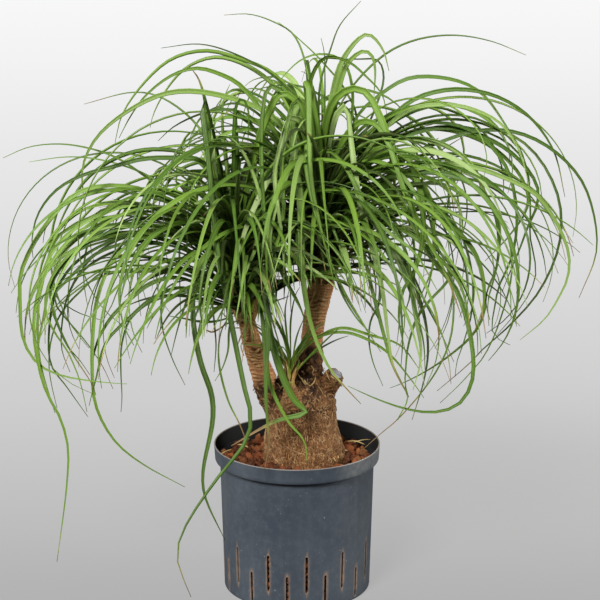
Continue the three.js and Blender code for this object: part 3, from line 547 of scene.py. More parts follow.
# Short leaves round the foot of a crown: how many, and a number added to the crown's seed.
# Sheaths clasp the stem, the others are rooted in the column.
BASES = {"count": 22, "seed": 1, "share": (-0.05, 0.3), "launch": (0, 0), "lean": (0.5, 1.4),
         "droop": (-0.9, 0.9), "length": (16, 46), "sway": (-0.6, 0.6), "stiff": 1.2,
         "width": (7, 12)}
DEAD_LEAVES = {**BASES, "count": 12, "seed": 2, "share": (0, 0.25), "lean": (-0.6, 0.6),
               "length": (30, 95), "width": (1.2, 3)}
SHEATHS = {"count": 22, "seed": 3, "rise": (-13, 12), "stand_off": (-0.6, 0.8),
           "launch": (0, 0), "lean": (1.25, 1.5), "droop": (-1.3, -0.5), "length": (22, 52),
           "sway": (-0.3, 0.3), "stiff": 1.5, "width": (8, 13), "tone": (-0.75, 0.25)}
SHOOT_SHEATHS = {**SHEATHS, "count": 9, "length": (24, 38), "width": (4.5, 6.5),
                 "tone": (-0.6, 0.1)}
FOOT_JITTER = (-0.3, 0.3)

# Leaf colours (0 to 255) from dark to light, those of the foot outwards in, how far up the
# foot's colour goes, and how much painted shade darkens the leaf next to its root, in the crown's
# shaded heart
GREEN_LEAF = {
    "shades": [(6, 26, 0), (52, 94, 4), (108, 145, 43), (184, 203, 140)],
    "foot": [(150, 168, 70), (186, 180, 92), (196, 168, 104)], "foot_end": 0.075, "gloom": 0.85,
}
YOUNG_LEAF = {
    "shades": [(52, 92, 8), (82, 124, 16), (118, 156, 38), (156, 184, 82)],
    "foot": [(150, 168, 70), (210, 204, 116), (230, 204, 144)], "foot_end": 0.3, "gloom": 0.15,
}


# Numbers and curves

def chance_from(seed):
    """The part's own random numbers, so that its rule gives the same leaves here."""
    state = seed

    def draw():
        nonlocal state
        state = state * 48271 % 2147483647
        return state / 2147483647
    return draw


def within(limits, share):
    return limits[0] + (limits[1] - limits[0]) * share


def smooth_step(low, high, value):
    t = np.clip((value - low) / (high - low), 0, 1)
    return t * t * (3 - 2 * t)


def unit(vector):
    return vector / np.linalg.norm(vector)


def outwards(heading):
    return np.array([math.cos(heading), math.sin(heading), 0])


def seen_at(px, py, depth):
    """A picture point at a known depth, as a place in space."""
    across, up = (px - MIDDLE) / FOCAL, (MIDDLE - py) / FOCAL
    reach = (depth - EYE[1]) / (PITCH_COS + up * PITCH_SIN)
    return np.array([EYE[0] + across * reach, depth, EYE[2] + reach * (up * PITCH_COS - PITCH_SIN)])


def seen_on_level(px, py, level):
    """A picture point at a known height, as a place in space."""
    near, far = seen_at(px, py, 0), seen_at(px, py, 100)
    return near + (far - near) * (level - near[2]) / (far[2] - near[2])


def shown_at(places):
    """The picture points at which places in space are seen."""
    right, ahead, up = (places - EYE).T
    reach = ahead * PITCH_COS - up * PITCH_SIN
    return MIDDLE + FOCAL * right / reach, MIDDLE - FOCAL * (ahead * PITCH_SIN + up * PITCH_COS) / reach


def picture_points(passes):
    return [tuple(map(float, pair.split(","))) for pair in passes.split()]


def below_skirt(route, slack=0):
    """Whether a route hangs out below the foliage of the picture."""
    px, py = shown_at(route[SKIRT_FREE_STEPS:])
    return (py > np.interp(px, *zip(*SKIRT)) + slack).any()


def above_hood(route):
    px, py = shown_at(route)
    return (py < np.interp(px, *zip(*HOOD))).any()


def over_open(route):
    """Whether a route crosses a place where the backdrop shows."""
    px, py = shown_at(resampled(curve_through(route), OPEN_STATIONS))
    return any((np.hypot(px - x, py - y) < radius).any() for x, y, radius in OPEN_PLACES)


def curve_through(points, steps=14):
    """A smooth curve through all the points (centripetal Catmull-Rom)."""
    points = np.asarray(points, float)
    padded = np.vstack([2 * points[0] - points[1], points, 2 * points[-1] - points[-2]])
    t = np.linspace(0, 1, steps, endpoint=False)[:, None]
    made = []
    for a, b, c, d in zip(padded, padded[1:], padded[2:], padded[3:]):
        spans = (np.linalg.norm(q - p) for p, q in ((a, b), (b, c), (c, d)))
        ab, bc, cd = (max(span, 1e-6) ** 0.5 for span in spans)
        start = ((b - a) / ab - (c - a) / (ab + bc) + (c - b) / bc) * bc
        end = ((c - b) / bc - (d - b) / (bc + cd) + (d - c) / cd) * bc
        made.append(b + start * t + (3 * (c - b) - 2 * start - end) * t ** 2
                    + (2 * (b - c) + start + end) * t ** 3)
    return np.vstack([*made, points[-1:]])


def eased(points, rounds=3):
    """The same polyline with small kinks taken out, its ends kept."""
    points = points.copy()
    for _ in range(rounds):
        points[1:-1] = (points[:-2] + 2 * points[1:-1] + points[2:]) / 4
    return points


def resampled(points, shares):
    steps = np.linalg.norm(np.diff(points, axis=0), axis=1)
    run = np.concatenate([[0], np.cumsum(steps)])
    return np.stack([np.interp(shares * run[-1], run, points[:, k]) for k in range(3)], 1)


def directions(line):
    """The direction of travel at each point of a line."""
    forward = np.gradient(line, axis=0)
    return forward / np.linalg.norm(forward, axis=1)[:, None]


# Leaf routes

def core_radius(core, share):
    return core["radius"] * (1 - (1 - CORE_TAPER) * share ** CORE_EASE)


def root_point(core, share, heading):
    up = within(ROOTED, share)
    middle = within((core["foot"], core["top"]), up)
    return middle + (core_radius(core, up) - ROOT_SINK) * outwards(heading)


def arch(leaf):
    """A leaf that leaves the core at a set steepness and bends over until it hangs."""
    along = (np.arange(ROUTE_STEPS) + 0.5) / ROUTE_STEPS
    rise = leaf["launch"] - (leaf["launch"] + leaf["droop"]) * along ** leaf["stiff"]
    bearing = leaf["heading"] + leaf["sway"] * along * along
    level = np.cos(rise)
    steps = np.stack([level * np.cos(bearing), level * np.sin(bearing), np.sin(rise)], 1)
    run = np.vstack([[0, 0, 0], np.cumsum(steps, 0)])
    return leaf["root"] + run * leaf["length"] / ROUTE_STEPS


def grown(core, kind, share, heading, draw, ease=1, narrow=1):
    """A leaf of a kind, rooted at a share of the column's height."""
    leaf = {"root": root_point(core, share, heading), "heading": heading}
    for measure in MEASURES:
        limits = kind.get(measure, 0)
        if isinstance(limits, tuple):
            limits = within(limits, draw() ** (narrow if measure == "width" else 1))
        leaf[measure] = limits
    leaf["launch"] = within(kind["launch"], share ** ease) + leaf["lean"]
    return leaf


def crown_leaf(core, share, heading, draw):
    """A leaf of a crown, by the rule of the part's source."""
    leaf = grown(core, CROWN_LEAF, share, heading, draw, ease=LAUNCH_EASE)
    if share > YOUNGEST_SHARE:
        leaf["length"] *= YOUNGEST_LENGTH
    draw()
    return fitted(leaf, within(TIP_LEVEL, draw()))


def tuft_leaf(core, share, heading, draw):
    leaf = grown(core, TUFT_LEAF, share, heading, draw)
    leaf["route"] = arch(leaf)
    return leaf


def fitted(leaf, level, hooded=False, slack=0):
    """The leaf with its route, made shorter, stiffer and steeper if it hangs too low or far."""
    for _ in range(FIT_STEPS):
        route = arch(leaf)
        low, high = below_skirt(route, slack), hooded and above_hood(route)
        if not (low or high or too_far(route, level)):
            break
        leaf["length"] = max(leaf["length"] * SHORTEN, SHORTEST_LEAF)
        if low:
            leaf["droop"] *= STIFFEN
            leaf["launch"] = max(leaf["launch"], min(leaf["launch"] + STEEPEN, STEEPEST))
        elif high:
            leaf["launch"] -= STEEPEN
    leaf["route"] = arch(leaf)
    return leaf


def too_far(route, level):
    out = np.hypot(route[:, 0], route[:, 1]).max() > CROWN_REACH
    return out or np.abs(route[:, 1]).max() > DEPTH_REACH or route[:, 2].min() < level


def traced_leaf(core, share, width, tip_depth, passes, dry=None, tone=0):
    """A leaf that follows the picture, its depth going evenly from the root to the tip."""
    points, foot = picture_points(passes), core["foot"]
    aim = seen_at(*points[1], (foot[1] + tip_depth) / 2)
    root = root_point(core, share, math.atan2(aim[1] - foot[1], aim[0] - core["top"][0]))
    run = np.cumsum([0] + [math.dist(p, q) for p, q in zip(points, points[1:])])
    depths = root[1] + (tip_depth - root[1]) * (1 - (1 - run / run[-1]) ** DEPTH_EASE)
    route = [root] + [seen_at(px, py, depth) for (px, py), depth in zip(points, depths)]
    return {"route": np.array(route), "width": width, "dry": dry, "tone": tone, "traced": True}


def loose_leaf(core, growth, chance):
    """One of the leaves that only the looks have."""
    share = within(growth["share"], chance.uniform() ** LOW_ROOTS)
    heading = math.radians(within(growth["turn"], chance.uniform()))
    leaf = grown(core, growth, share, heading, chance.uniform, narrow=NARROW_BLADES)
    fitted(leaf, within(TIP_LEVEL, chance.uniform()), hooded=True, slack=growth["slack"])
    if chance.uniform() < KINKED_PART:
        leaf["route"] = kinked(leaf["route"], chance)
    return leaf


def kinked(route, chance):
    """The same leaf with its outer part snapped downwards."""
    at = chance.randint(*KINK_STEPS)
    steps = np.diff(route[at:], axis=0)
    length = np.linalg.norm(steps, axis=1)[:, None]
    outer = route[at] + np.cumsum(steps * KINK_SHRINK - length * [0, 0, KINK_DROP], axis=0)
    bent = np.vstack([route[:at + 1], outer])
    return route if below_skirt(bent) else bent


def leaves_of(core, rule):
    """The leaves traced for a crown, then those of its rule."""
    draw = chance_from(core["seed"])
    leaves = [traced_leaf(core, *row) for row in core["traced"]]
    for count in core["leaves"]:
        for index in range(count):
            heading = index * GOLDEN_ANGLE + within(TURN_JITTER, draw())
            leaves.append(rule(core, (index + 0.5) / count, heading, draw))
    return leaves


def loose_leaves_of(core):
    """The loose leaves of a crown, without those that would close an open place."""
    chance = np.random.RandomState(core["seed"])
    loose = [loose_leaf(core, growth, chance)
             for kind, growth in GROWTH.items() for _ in range(core[kind])]
    return [leaf for leaf in loose if not over_open(leaf["route"])]


def foot_leaves(core, kind):
    """Short leaves round the foot of a crown: bases, sheaths or dead ones."""
    draw = np.random.RandomState(core["seed"] + kind["seed"]).uniform
    leaves = []
    for index in range(kind["count"]):
        heading = index * GOLDEN_ANGLE + draw(*FOOT_JITTER)
        if "share" in kind:
            leaf = grown(core, kind, draw(*kind["share"]), heading, draw)
        else:
            rise, out = draw(*kind["rise"]), core["stem"] + draw(*kind["stand_off"])
            leaf = grown(core, kind, 0, heading, draw)
            leaf["root"] = core["foot"] + out * outwards(heading) + [0, 0, rise]
            leaf["flare"] = PINCH
        leaf["route"] = arch(leaf)
        leaves.append(leaf)
    return leaves


# Meshes

def even_turns(sides):
    return np.arange(sides) * 2 * math.pi / sides


def ring(middle, radius, turns, across=(1, 0, 0), third=(0, 1, 0)):
    """Points round a middle, at turns from one direction towards a second one."""
    return middle + np.outer(radius * np.cos(turns), across) + np.outer(radius * np.sin(turns), third)


def wall_faces(rings, sides):
    """Quads between closed rings."""
    faces = []
    for start in range(0, (rings - 1) * sides, sides):
        for side in range(sides):
            a, b = start + side, start + (side + 1) % sides
            faces.append((a, b, b + sides, a + sides))
    return faces


def solid_faces(rings, sides):
    """Quads between closed rings, with the two ends filled."""
    last = (rings - 1) * sides
    ends = [tuple(range(sides - 1, -1, -1)), tuple(range(last, last + sides))]
    return wall_faces(rings, sides) + ends


def solid(rings):
    """The corners and faces of a closed body that runs through rings of points."""
    return np.vstack(rings), solid_faces(len(rings), len(rings[0]))


def tube(line, radii, turns, lean):
    """A body round a line; lean is a direction that the line doesn't take."""
    rings = []
    for place, ahead, radius in zip(line, directions(line), radii):
        across = unit(np.cross(lean, ahead))
        rings.append(ring(place, radius, turns, across, np.cross(ahead, across)))
    return solid(rings)


def thread(line, radius):
    """A thin three-sided strand with narrow ends."""
    radii = np.full(len(line), radius)
    radii[[0, -1]] *= THREAD_TIP
    return tube(line, radii, THREAD_TURNS, THREAD_LEAN)


def joined(parts):
    corners, faces, start = [], [], 0
    for part_corners, part_faces in parts:
        corners.append(part_corners)
        faces += [tuple(start + c for c in face) for face in part_faces]
        start += len(part_corners)
    return np.vstack(corners), faces


def mesh_piece(name, corners, faces, material, marks=None, smooth=True):
    mesh = bpy.data.meshes.new(name)
    mesh.from_pydata((np.asarray(corners) * MM).tolist(), [], faces)
    set_marks(mesh, marks or {})
    mesh.validate()
    piece = bpy.data.objects.new(name, mesh)
    bpy.context.scene.collection.objects.link(piece)
    face_outwards(mesh)
    if material:
        mesh.materials.append(material)
    if smooth:
        mesh.shade_smooth()
    return piece


def joined_piece(name, parts, material, marks=None, smooth=True):
    return mesh_piece(name, *joined(parts), material, marks, smooth)


def face_outwards(mesh):
    work = bmesh.new()
    work.from_mesh(mesh)
    bmesh.ops.recalc_face_normals(work, faces=work.faces)
    work.to_mesh(mesh)
    work.free()


def apply_modifiers(piece):
    graph = bpy.context.evaluated_depsgraph_get()
    mesh = bpy.data.meshes.new_from_object(piece.evaluated_get(graph))
    piece.modifiers.clear()
    piece.data = mesh


def read_corners(mesh, measure):
    """A measure of all the corners of a mesh: their places or their normals."""
    flat = np.empty(len(mesh.vertices) * 3, np.float32)
    mesh.vertices.foreach_get(measure, flat)
    return flat.reshape(-1, 3).astype(float)


def set_marks(mesh, marks):
    """Gives each corner of a mesh the values that the materials read."""
    for name, values in marks.items():
        data = mesh.attributes.new(name, "FLOAT", "POINT").data
        data.foreach_set("value", np.asarray(values, np.float32))


def hit_on(tree, start, aim):
    """The place where a ray meets a surface, and the surface's direction there."""
    hit, normal = tree.ray_cast(Vector(start) * MM, Vector(aim))[:2]
    return (np.array(hit) / MM, np.array(normal)) if hit else (None, None)


# Leaf blades

def half_widths(width, along, flared):
    past = np.clip((along - TAPER_START) / (1 - TAPER_START), 0, 1)
    flare_end = FLARE_END if flared > 1 else PINCH_END
    flare = 1 + (flared - 1) * (1 - smooth_step(0, flare_end, along))
    return (TIP_WIDTH + (width - TIP_WIDTH) * (1 - past ** TAPER_EASE)) * flare / 2


def blade_mesh(leaf, twist, stations):
    """Corners of a gutter-shaped blade; a traced one is turned partly towards the viewer."""
    line = resampled(eased(curve_through(leaf["route"])), stations)
    forward = directions(line)
    across = unit(np.array([-forward[1][1], forward[1][0], 0.0]))
    half = half_widths(leaf["width"], stations, leaf.get("flare", FLARE))
    facing = FACING if "traced" in leaf else 0
    rings = []
    for place, ahead, reach, along in zip(line, forward, half, stations):
        across = unit(across - ahead * (across @ ahead))
        shown = unit(np.cross(ahead, place - EYE))
        turned = facing * smooth_step(*FACING_SPAN, along)
        across = unit(across + shown * math.copysign(turned, shown @ across))
        turn = twist * along
        side = across * math.cos(turn) + np.cross(ahead, across) * math.sin(turn)
        over = np.cross(ahead, side)
        thick = BLADE_THICKNESS * min(1, EDGE_THICKNESS + reach / THICK_REACH)
        rise = SECTION[:, 1] * GUTTER * reach - SECTION[:, 2] * thick
        rings.append(place + np.outer(SECTION[:, 0] * reach, side) + np.outer(rise, over))
    return np.vstack(rings)


def leaf_piece(name, leaves, material, seed, stations=BLADE_STATIONS):
    """All the blades of one kind as one mesh, with what their colours depend on."""
    chance = np.random.RandomState(seed)
    sides, count = len(SECTION), len(stations)
    pattern = solid_faces(count, sides)
    parts, tones, dry_from = [], [], []
    for leaf in leaves:
        twist = chance.uniform(-1, 1) * (TRACED_TWIST if "traced" in leaf else TWIST)
        parts.append((blade_mesh(leaf, twist, stations), pattern))
        dry = leaf.get("dry")
        if not dry:
            dry = chance.uniform(*DRY_TIPS) if chance.uniform() < DRY_TIP_PART else NO_DRY_TIP
        dry_from.append(dry)
        tone = np.interp(leaf["width"], *TONE_OF_WIDTH) + chance.uniform(-1, 1) * TONE_SPREAD
        tones.append(np.clip(tone + leaf["tone"], 0, 1))
    marks = {
        "along": np.tile(np.repeat(stations, sides), len(leaves)),
        "across": np.tile(SECTION[:, 0], count * len(leaves)),
        "tone": np.repeat(tones, sides * count),
        "dry": np.repeat(dry_from, sides * count),
    }
    return joined_piece(name, parts, material, marks)


# Materials

class Nodes:
    """A short way to build a material's nodes. Colours are tuples of 0 to 255 or sockets."""

    def __init__(self, name):
        self.material = bpy.data.materials.new(name)
        self.material.use_nodes = True
        self.tree = self.material.node_tree
        self.shader = self.tree.nodes["Principled BSDF"]

    def add(self, kind, inputs=None, **settings):
        node = self.tree.nodes.new(kind)
        for key, value in settings.items():
            setattr(node, key, value)
        for key, value in (inputs or {}).items():
            self.put(node, key, value)
        return node

    def put(self, node, key, value):
        if isinstance(value, bpy.types.NodeSocket):
            self.tree.links.new(value, node.inputs[key])
        else:
            node.inputs[key].default_value = value

    def attribute(self, name):
        return self.add("ShaderNodeAttribute", attribute_name=name).outputs["Fac"]

    def place(self, scale=(1, 1, 1)):
        coordinates = self.add("ShaderNodeTexCoord").outputs["Object"]
        inputs = {"Vector": coordinates, "Scale": scale}
        return self.add("ShaderNodeMapping", inputs).outputs["Vector"]

    def noise(self, scale, detail=4, stretch=(1, 1, 1), rough=0.55, distortion=0):
        inputs = {"Vector": self.place(stretch), "Scale": scale, "Detail": detail,
                  "Roughness": rough, "Distortion": distortion}
        return self.add("ShaderNodeTexNoise", inputs).outputs["Fac"]

    def cells(self, scale, feature="F1"):
        inputs = {"Vector": self.place(), "Scale": scale}
        return self.add("ShaderNodeTexVoronoi", inputs, feature=feature).outputs["Distance"]

    def math(self, operation, a, b=0.0, clamp=False):
        inputs = {0: a, 1: b}
        return self.add("ShaderNodeMath", inputs, operation=operation, use_clamp=clamp).outputs[0]

    def plus(self, a, b, share, clamp=False):
        """One value, and a share of another added to it."""
        return self.math("ADD", a, self.math("MULTIPLY", b, share), clamp)

    def ramp(self, factor, stops, color_of=lambda shade: rgb(*shade)):
        node = self.add("ShaderNodeValToRGB", {"Fac": factor})
        elements, stops = node.color_ramp.elements, list(stops)
        while len(elements) < len(stops):
            elements.new(0.5)
        for element, (position, shade) in zip(elements, stops):
            element.position = position
            element.color = color_of(shade)
        return node.outputs["Color"]

    def mix(self, factor, a, b):
        node = self.add("ShaderNodeMix", {0: factor}, data_type="RGBA")
        for key, color in ((6, a), (7, b)):
            self.put(node, key, rgb(*color) if isinstance(color, tuple) else color)
        return node.outputs[2]

    def range(self, value, low, high, to_low=0.0, to_high=1.0):
        inputs = {"Value": value, "From Min": low, "From Max": high, "To Min": to_low,
                  "To Max": to_high}
        return self.add("ShaderNodeMapRange", inputs).outputs["Result"]

    def tint(self, color, shade, most, value, low, high):
        """The colour, turning by a share into a shade as a value goes from low to high."""
        return self.mix(self.range(value, low, high, 0, most), color, shade)

    def bump(self, height, strength, distance):
        inputs = {"Height": height, "Strength": strength, "Distance": distance}
        self.put(self.shader, "Normal", self.add("ShaderNodeBump", inputs).outputs["Normal"])

    def surface(self, color, roughness, specular, glow=None):
        inputs = {"Base Color": color, "Roughness": roughness, "Specular IOR Level": specular}
        if glow:
            inputs.update({"Emission Color": glow, "Emission Strength": 1.0})
        for key, value in inputs.items():
            self.put(self.shader, key, value)
        return self.material


def rgb(red, green, blue):
    """A colour as read from a screen, 0 to 255, in the shader's linear values."""
    def linear(value):
        value /= 255
        return value / 12.92 if value <= 0.04045 else ((value + 0.055) / 1.055) ** 2.4
    return (linear(red), linear(green), linear(blue), 1)


def leaf_material(name, look):
    m = Nodes(name)
    along, across = m.attribute("along"), m.attribute("across")
    color = m.ramp(m.attribute("tone"), zip((0, 0.32, 0.66, 1), look["shades"]))
    mottle = m.noise(38, 3)
    color = m.tint(color, (113, 142, 54), 0.2, mottle, 0.3, 0.7)
    ribs = m.math("SINE", m.math("MULTIPLY", across, 26))
    color = m.tint(color, (156, 178, 100), 0.2, ribs, -1, 1)
    color = m.tint(color, (162, 182, 112), 0.3, m.math("ABSOLUTE", across), 0.16, 0)
    # Painted shade: the leaf darkens towards its root, in the crown's shaded heart
    color = m.tint(color, (10, 34, 2), look["gloom"], along, 0.34, 0.04)
    foot = m.range(along, 0.0, look["foot_end"], 1, 0)
    foot_color = m.ramp(foot, zip((0, 0.55, 1), look["foot"]))
    color = m.mix(m.math("POWER", foot, 0.8), color, foot_color)
    tip = m.range(m.math("SUBTRACT", along, m.attribute("dry")), -0.05, 0.03)
    tip_color = m.ramp(tip, [(0, (130, 146, 52)), (0.5, (170, 158, 86)), (1, (140, 112, 74))])
    color = m.mix(m.math("MULTIPLY", tip, 0.95), color, tip_color)
    m.bump(m.plus(ribs, mottle, 0.6), 0.25, 0.0004)
    return m.surface(color, 0.44, 0.32)


def bark_material():
    """Torn fibrous bark low down, ringed bark on the stems, and the marks of shape_bark, with painted
    shade in the fork's hollows and the cracks.
    """
    m = Nodes("bark_fibrous")
    fibre = m.noise(420, 5, (1, 1, 0.22), 0.7)
    curl = m.noise(210, 6, (1, 1, 0.42), 0.72, 3.0)
    patch = m.noise(26, 4)
    caudex = m.ramp(curl, [(0.36, (30, 15, 7)), (0.45, (84, 52, 27)), (0.54, (125, 85, 49)),
                           (0.65, (188, 149, 100))])
    caudex = m.tint(caudex, (84, 54, 30), 0.6, fibre, 0.5, 0.7)
    caudex = m.tint(caudex, (124, 84, 54), 0.4, patch, 0.5, 0.7)
    scars = [(0, (98, 52, 26)), (0.34, (172, 120, 70)), (1, (236, 200, 138))]
    stem = m.ramp(m.attribute("scar"), scars)
    stem = m.tint(stem, (122, 72, 38), 0.7, curl, 0.56, 0.36)
    stem = m.tint(stem, (200, 132, 94), 0.5, patch, 0.42, 0.62)
    stem = m.tint(stem, (228, 192, 140), 0.5, fibre, 0.52, 0.7)
    color = m.mix(m.attribute("ring"), caudex, stem)
    # Painted shade: near-black brown over the fork's hollows and the cracks, as the dark mark gives
    gloom = m.tint((20, 11, 7), (84, 56, 35), 1, curl, 0.4, 0.75)
    color = m.mix(m.attribute("dark"), color, gloom)
    pale = m.tint((168, 122, 78), (196, 156, 100), 1, patch, 0.4, 0.6)
    pale = m.tint(pale, (104, 64, 38), 0.8, curl, 0.6, 0.38)
    color = m.mix(m.attribute("pale"), color, pale)
    color = m.mix(m.attribute("fresh"), color, (204, 190, 104))
    m.bump(m.plus(curl, fibre, 0.8), 0.6, 0.0011)
    return m.surface(color, 0.88, 0.25)


def plastic_material():
    """Blue grey plastic with streaks and pale specks, painted shade inside, a painted highlight on the
    rim band's right end, stained at the slots.
    """
    m = Nodes("pot_plastic")
    broad, fine, inside = m.noise(9, 3), m.noise(900, 3), m.attribute("inside")
    color = m.tint((57, 64, 73), (68, 75, 83), 1, broad, 0.35, 0.65)
    color = m.tint(color, (96, 103, 108), 0.18, m.noise(40, 5, (1, 1, 0.08), 0.6), 0.5, 0.75)
    blotch = m.noise(110, 5, rough=0.65)
    color = m.tint(color, (92, 98, 102), 0.3, blotch, 0.45, 0.7)
    # Painted highlight on the rim band's right end, broken up in patches
    painted_highlight = m.math("MULTIPLY", m.attribute("rim_highlight"), m.range(blotch, 0.3, 0.62, 0.12, 0.32))
    color = m.mix(painted_highlight, color, (150, 150, 146))
    color = m.tint(color, (148, 150, 150), 0.5, m.noise(240, 2), 0.71, 0.76)
    # Painted shade: the inside of the pot near black
    color = m.mix(inside, color, (11, 12, 13))
    rust = m.range(m.noise(130, 4), 0.3, 0.6, 0.35, 1)
    stain = m.math("MULTIPLY", m.attribute("stain"), rust, True)
    color = m.mix(stain, color, (138, 116, 98))
    color = m.mix(m.attribute("worn"), color, (142, 134, 124))
    m.bump(m.plus(broad, fine, 0.4), 0.16, 0.0006)
    rough = m.plus(m.range(broad, 0.3, 0.7, 0.46, 0.6), inside, 0.38, clamp=True)
    return m.surface(color, rough, 0.4)


def clay_material():
    m = Nodes("fired_clay")
    grain, pits = m.noise(420, 6, rough=0.7), m.cells(620)
    color = m.ramp(m.attribute("tone"), [
        (0, (48, 26, 16)), (0.35, (84, 44, 24)), (0.65, (118, 64, 36)), (0.85, (146, 86, 50)),
        (1, (92, 62, 38)),
    ])
    color = m.tint(color, (152, 96, 58), 0.6, grain, 0.45, 0.75)
    color = m.tint(color, (52, 30, 24), 0.65, pits, 0.3, 0.0)
    # Painted shade on the granules, from their shade marks
    color = m.mix(m.attribute("gloom"), color, (20, 11, 7))
    m.bump(m.plus(grain, pits, 0.8), 0.7, 0.001)
    return m.surface(color, 0.93, 0.2)


# Painted shade: the mass under the loose granules is near-black brown, standing in for the shade in the
# gaps between them
def shaded_bed_material():
    m = Nodes("bed_painted_shade")
    grain = m.noise(240, 5)
    color = m.tint((26, 16, 12), (62, 38, 28), 1, grain, 0.35, 0.7)
    m.bump(grain, 0.6, 0.0015)
    return m.surface(color, 0.95, 0.1)


def dry_material(name, light, dark):
    m = Nodes(name)
    streak = m.noise(60, 4, (1, 1, 3))
    m.bump(streak, 0.4, 0.0006)
    color = m.tint(light, dark, 1, streak, 0.35, 0.65)
    return m.surface(color, 0.75, 0.25)


def sheath_material():
    """Leaf bases: papery low down, yellow green further up, some of them dry all along."""
    m = Nodes("leaf_sheath")
    streak = m.noise(70, 4, (1, 1, 0.25), 0.65)
    dry = m.ramp(streak, [(0.35, (124, 82, 44)), (0.5, (204, 160, 98)), (0.65, (244, 218, 162))])
    green = m.ramp(m.attribute("along"), [(0, (220, 188, 116)), (0.2, (212, 202, 96)),
                                          (0.55, (150, 172, 52)), (1, (102, 138, 32))])
    withered = m.range(m.attribute("tone"), 0.38, 0.46, 1, 0)
    withered = m.math("MAXIMUM", withered, m.range(streak, 0.56, 0.66, 0, 0.7))
    m.bump(streak, 0.4, 0.0006)
    color = m.mix(withered, green, dry)
    return m.surface(color, 0.6, 0.25)


def seal_material():
    m = Nodes("silver_cut")
    crack = m.cells(260, "DISTANCE_TO_EDGE")
    color = m.tint((120, 118, 126), (176, 174, 182), 1, m.noise(90, 4), 0.35, 0.65)
    color = m.tint(color, (60, 56, 58), 0.8, crack, 0.06, 0)
    m.bump(crack, 0.6, 0.0008)
    return m.surface(color, 0.55, 0.5)


# Pot

def pot_outline():
    """Outer wall up to the lip, then the inner wall down, as radius and height."""
    foot = [(BASE_RADIUS - BASE_ROUND * (1 - math.sin(t)), BASE_ROUND * (1 - math.cos(t)))
            for t in np.linspace(0, math.pi / 2, 6)]
    wall = [(within((BASE_RADIUS, NECK_RADIUS), t), within((BASE_ROUND, SHOULDER_LEVEL), t))
            for t in np.linspace(0.06, 1, 17)]
    band = [(NECK_RADIUS + 1.2, SHOULDER_LEVEL + 0.8), (BAND_FOOT_RADIUS - 1.4, BAND_FOOT - 1.2),
            (BAND_FOOT_RADIUS - 0.3, BAND_FOOT - 0.6), (BAND_FOOT_RADIUS + 0.1, BAND_FOOT + 0.4),
            (BAND_FOOT_RADIUS + 0.3, BAND_FOOT + 4), (RIM_RADIUS - 0.3, POT_HEIGHT - 3),
            (RIM_RADIUS, POT_HEIGHT - 0.9), (RIM_RADIUS - 0.35, POT_HEIGHT - 0.2),
            (RIM_RADIUS - 0.9, POT_HEIGHT)]
    inner = [(RIM_RADIUS + 0.2, POT_HEIGHT - 0.3), (RIM_RADIUS, POT_HEIGHT - 1.2),
             (BAND_FOOT_RADIUS, BAND_FOOT), (NECK_RADIUS, SHOULDER_LEVEL),
             (BASE_RADIUS, BASE_ROUND), (BASE_RADIUS - 2, POT_WALL)]
    inner = [(radius - POT_WALL, height) for radius, height in inner]
    return [(0, 0), (FLOOR_RING, 0), *foot, *wall, *band, *inner, (FLOOR_RING, POT_WALL),
            (0, POT_WALL)]


def lathe(outline, sides):
    """A body of revolution, its first and last point on the axis."""
    turns = even_turns(sides)
    rings = [ring((0, 0, height), radius, turns) for radius, height in outline[1:-1]]
    faces = wall_faces(len(rings), sides)
    corners = np.vstack([*rings, [[0, 0, outline[0][1]], [0, 0, outline[-1][1]]]])
    low, high, last = len(corners) - 2, len(corners) - 1, (len(rings) - 1) * sides
    for side in range(sides):
        after = (side + 1) % sides
        faces += [(low, after, side), (high, last + side, last + after)]
    return corners, faces


def slots():
    """The slots round the wall: their lower end, upper end and heading."""
    for index in range(SLOT_COUNT):
        low, high = SHORT_SLOT if index % 2 else LONG_SLOT
        yield low, high, math.radians(FIRST_LONG_SLOT + index * 360 / SLOT_COUNT - 90)


def slot_cutter():
    """All the slots' prisms with round ends, as one mesh."""
    half, turns = SLOT_WIDTH / 2, np.linspace(0, math.pi, SLOT_END_STEPS)
    parts = []
    for low, high, heading in slots():
        outline = [(half * math.cos(t), high - half + half * math.sin(t)) for t in turns]
        outline += [(-half * math.cos(t), low + half - half * math.sin(t)) for t in turns]
        out, side = outwards(heading), outwards(heading + math.pi / 2)
        parts.append(solid([[out * reach + side * x + [0, 0, z] for x, z in outline]
                            for reach in CUTTER_REACH]))
    return joined_piece("slot_cutter", parts, None, smooth=False)


def slot_closeness(corners):
    """How near each corner is to a slot's edge, 1 at the edge."""
    x, y, height = corners.T
    best = np.zeros(len(corners))
    for low, high, heading in slots():
        turn = (np.arctan2(y, x) - heading + math.pi) % (2 * math.pi) - math.pi
        over = np.maximum(np.maximum(low + 2 - height, height - high + 2), 0)
        away = np.hypot(turn * BASE_RADIUS, over)
        best = np.maximum(best, 1 - smooth_step(*STAIN_SPREAD, away))
    return best


def mark_pot(mesh):
    """Where the pot is inside and takes painted shade, where it is stained, where the rim band takes a
    painted highlight, and where it is worn.
    """
    corners = read_corners(mesh, "co") / MM
    x, y, height = corners.T
    outer = np.interp(height, [0, BASE_ROUND, SHOULDER_LEVEL, BAND_FOOT, POT_HEIGHT],
                      [BASE_RADIUS - 3, BASE_RADIUS, NECK_RADIUS, BAND_FOOT_RADIUS, RIM_RADIUS])
    turned = np.cos(np.arctan2(y, x) - RIM_HIGHLIGHT_HEADING)
    set_marks(mesh, {
        "inside": smooth_step(*INSIDE_DEPTH, outer - np.hypot(x, y)) * (height > 1),
        "stain": slot_closeness(corners),
        "rim_highlight": smooth_step(*RIM_HIGHLIGHT_SPREAD, turned) * (height > BAND_FOOT - 1),
        "worn": smooth_step(*WORN_LIP, height) * 0.8,
    })


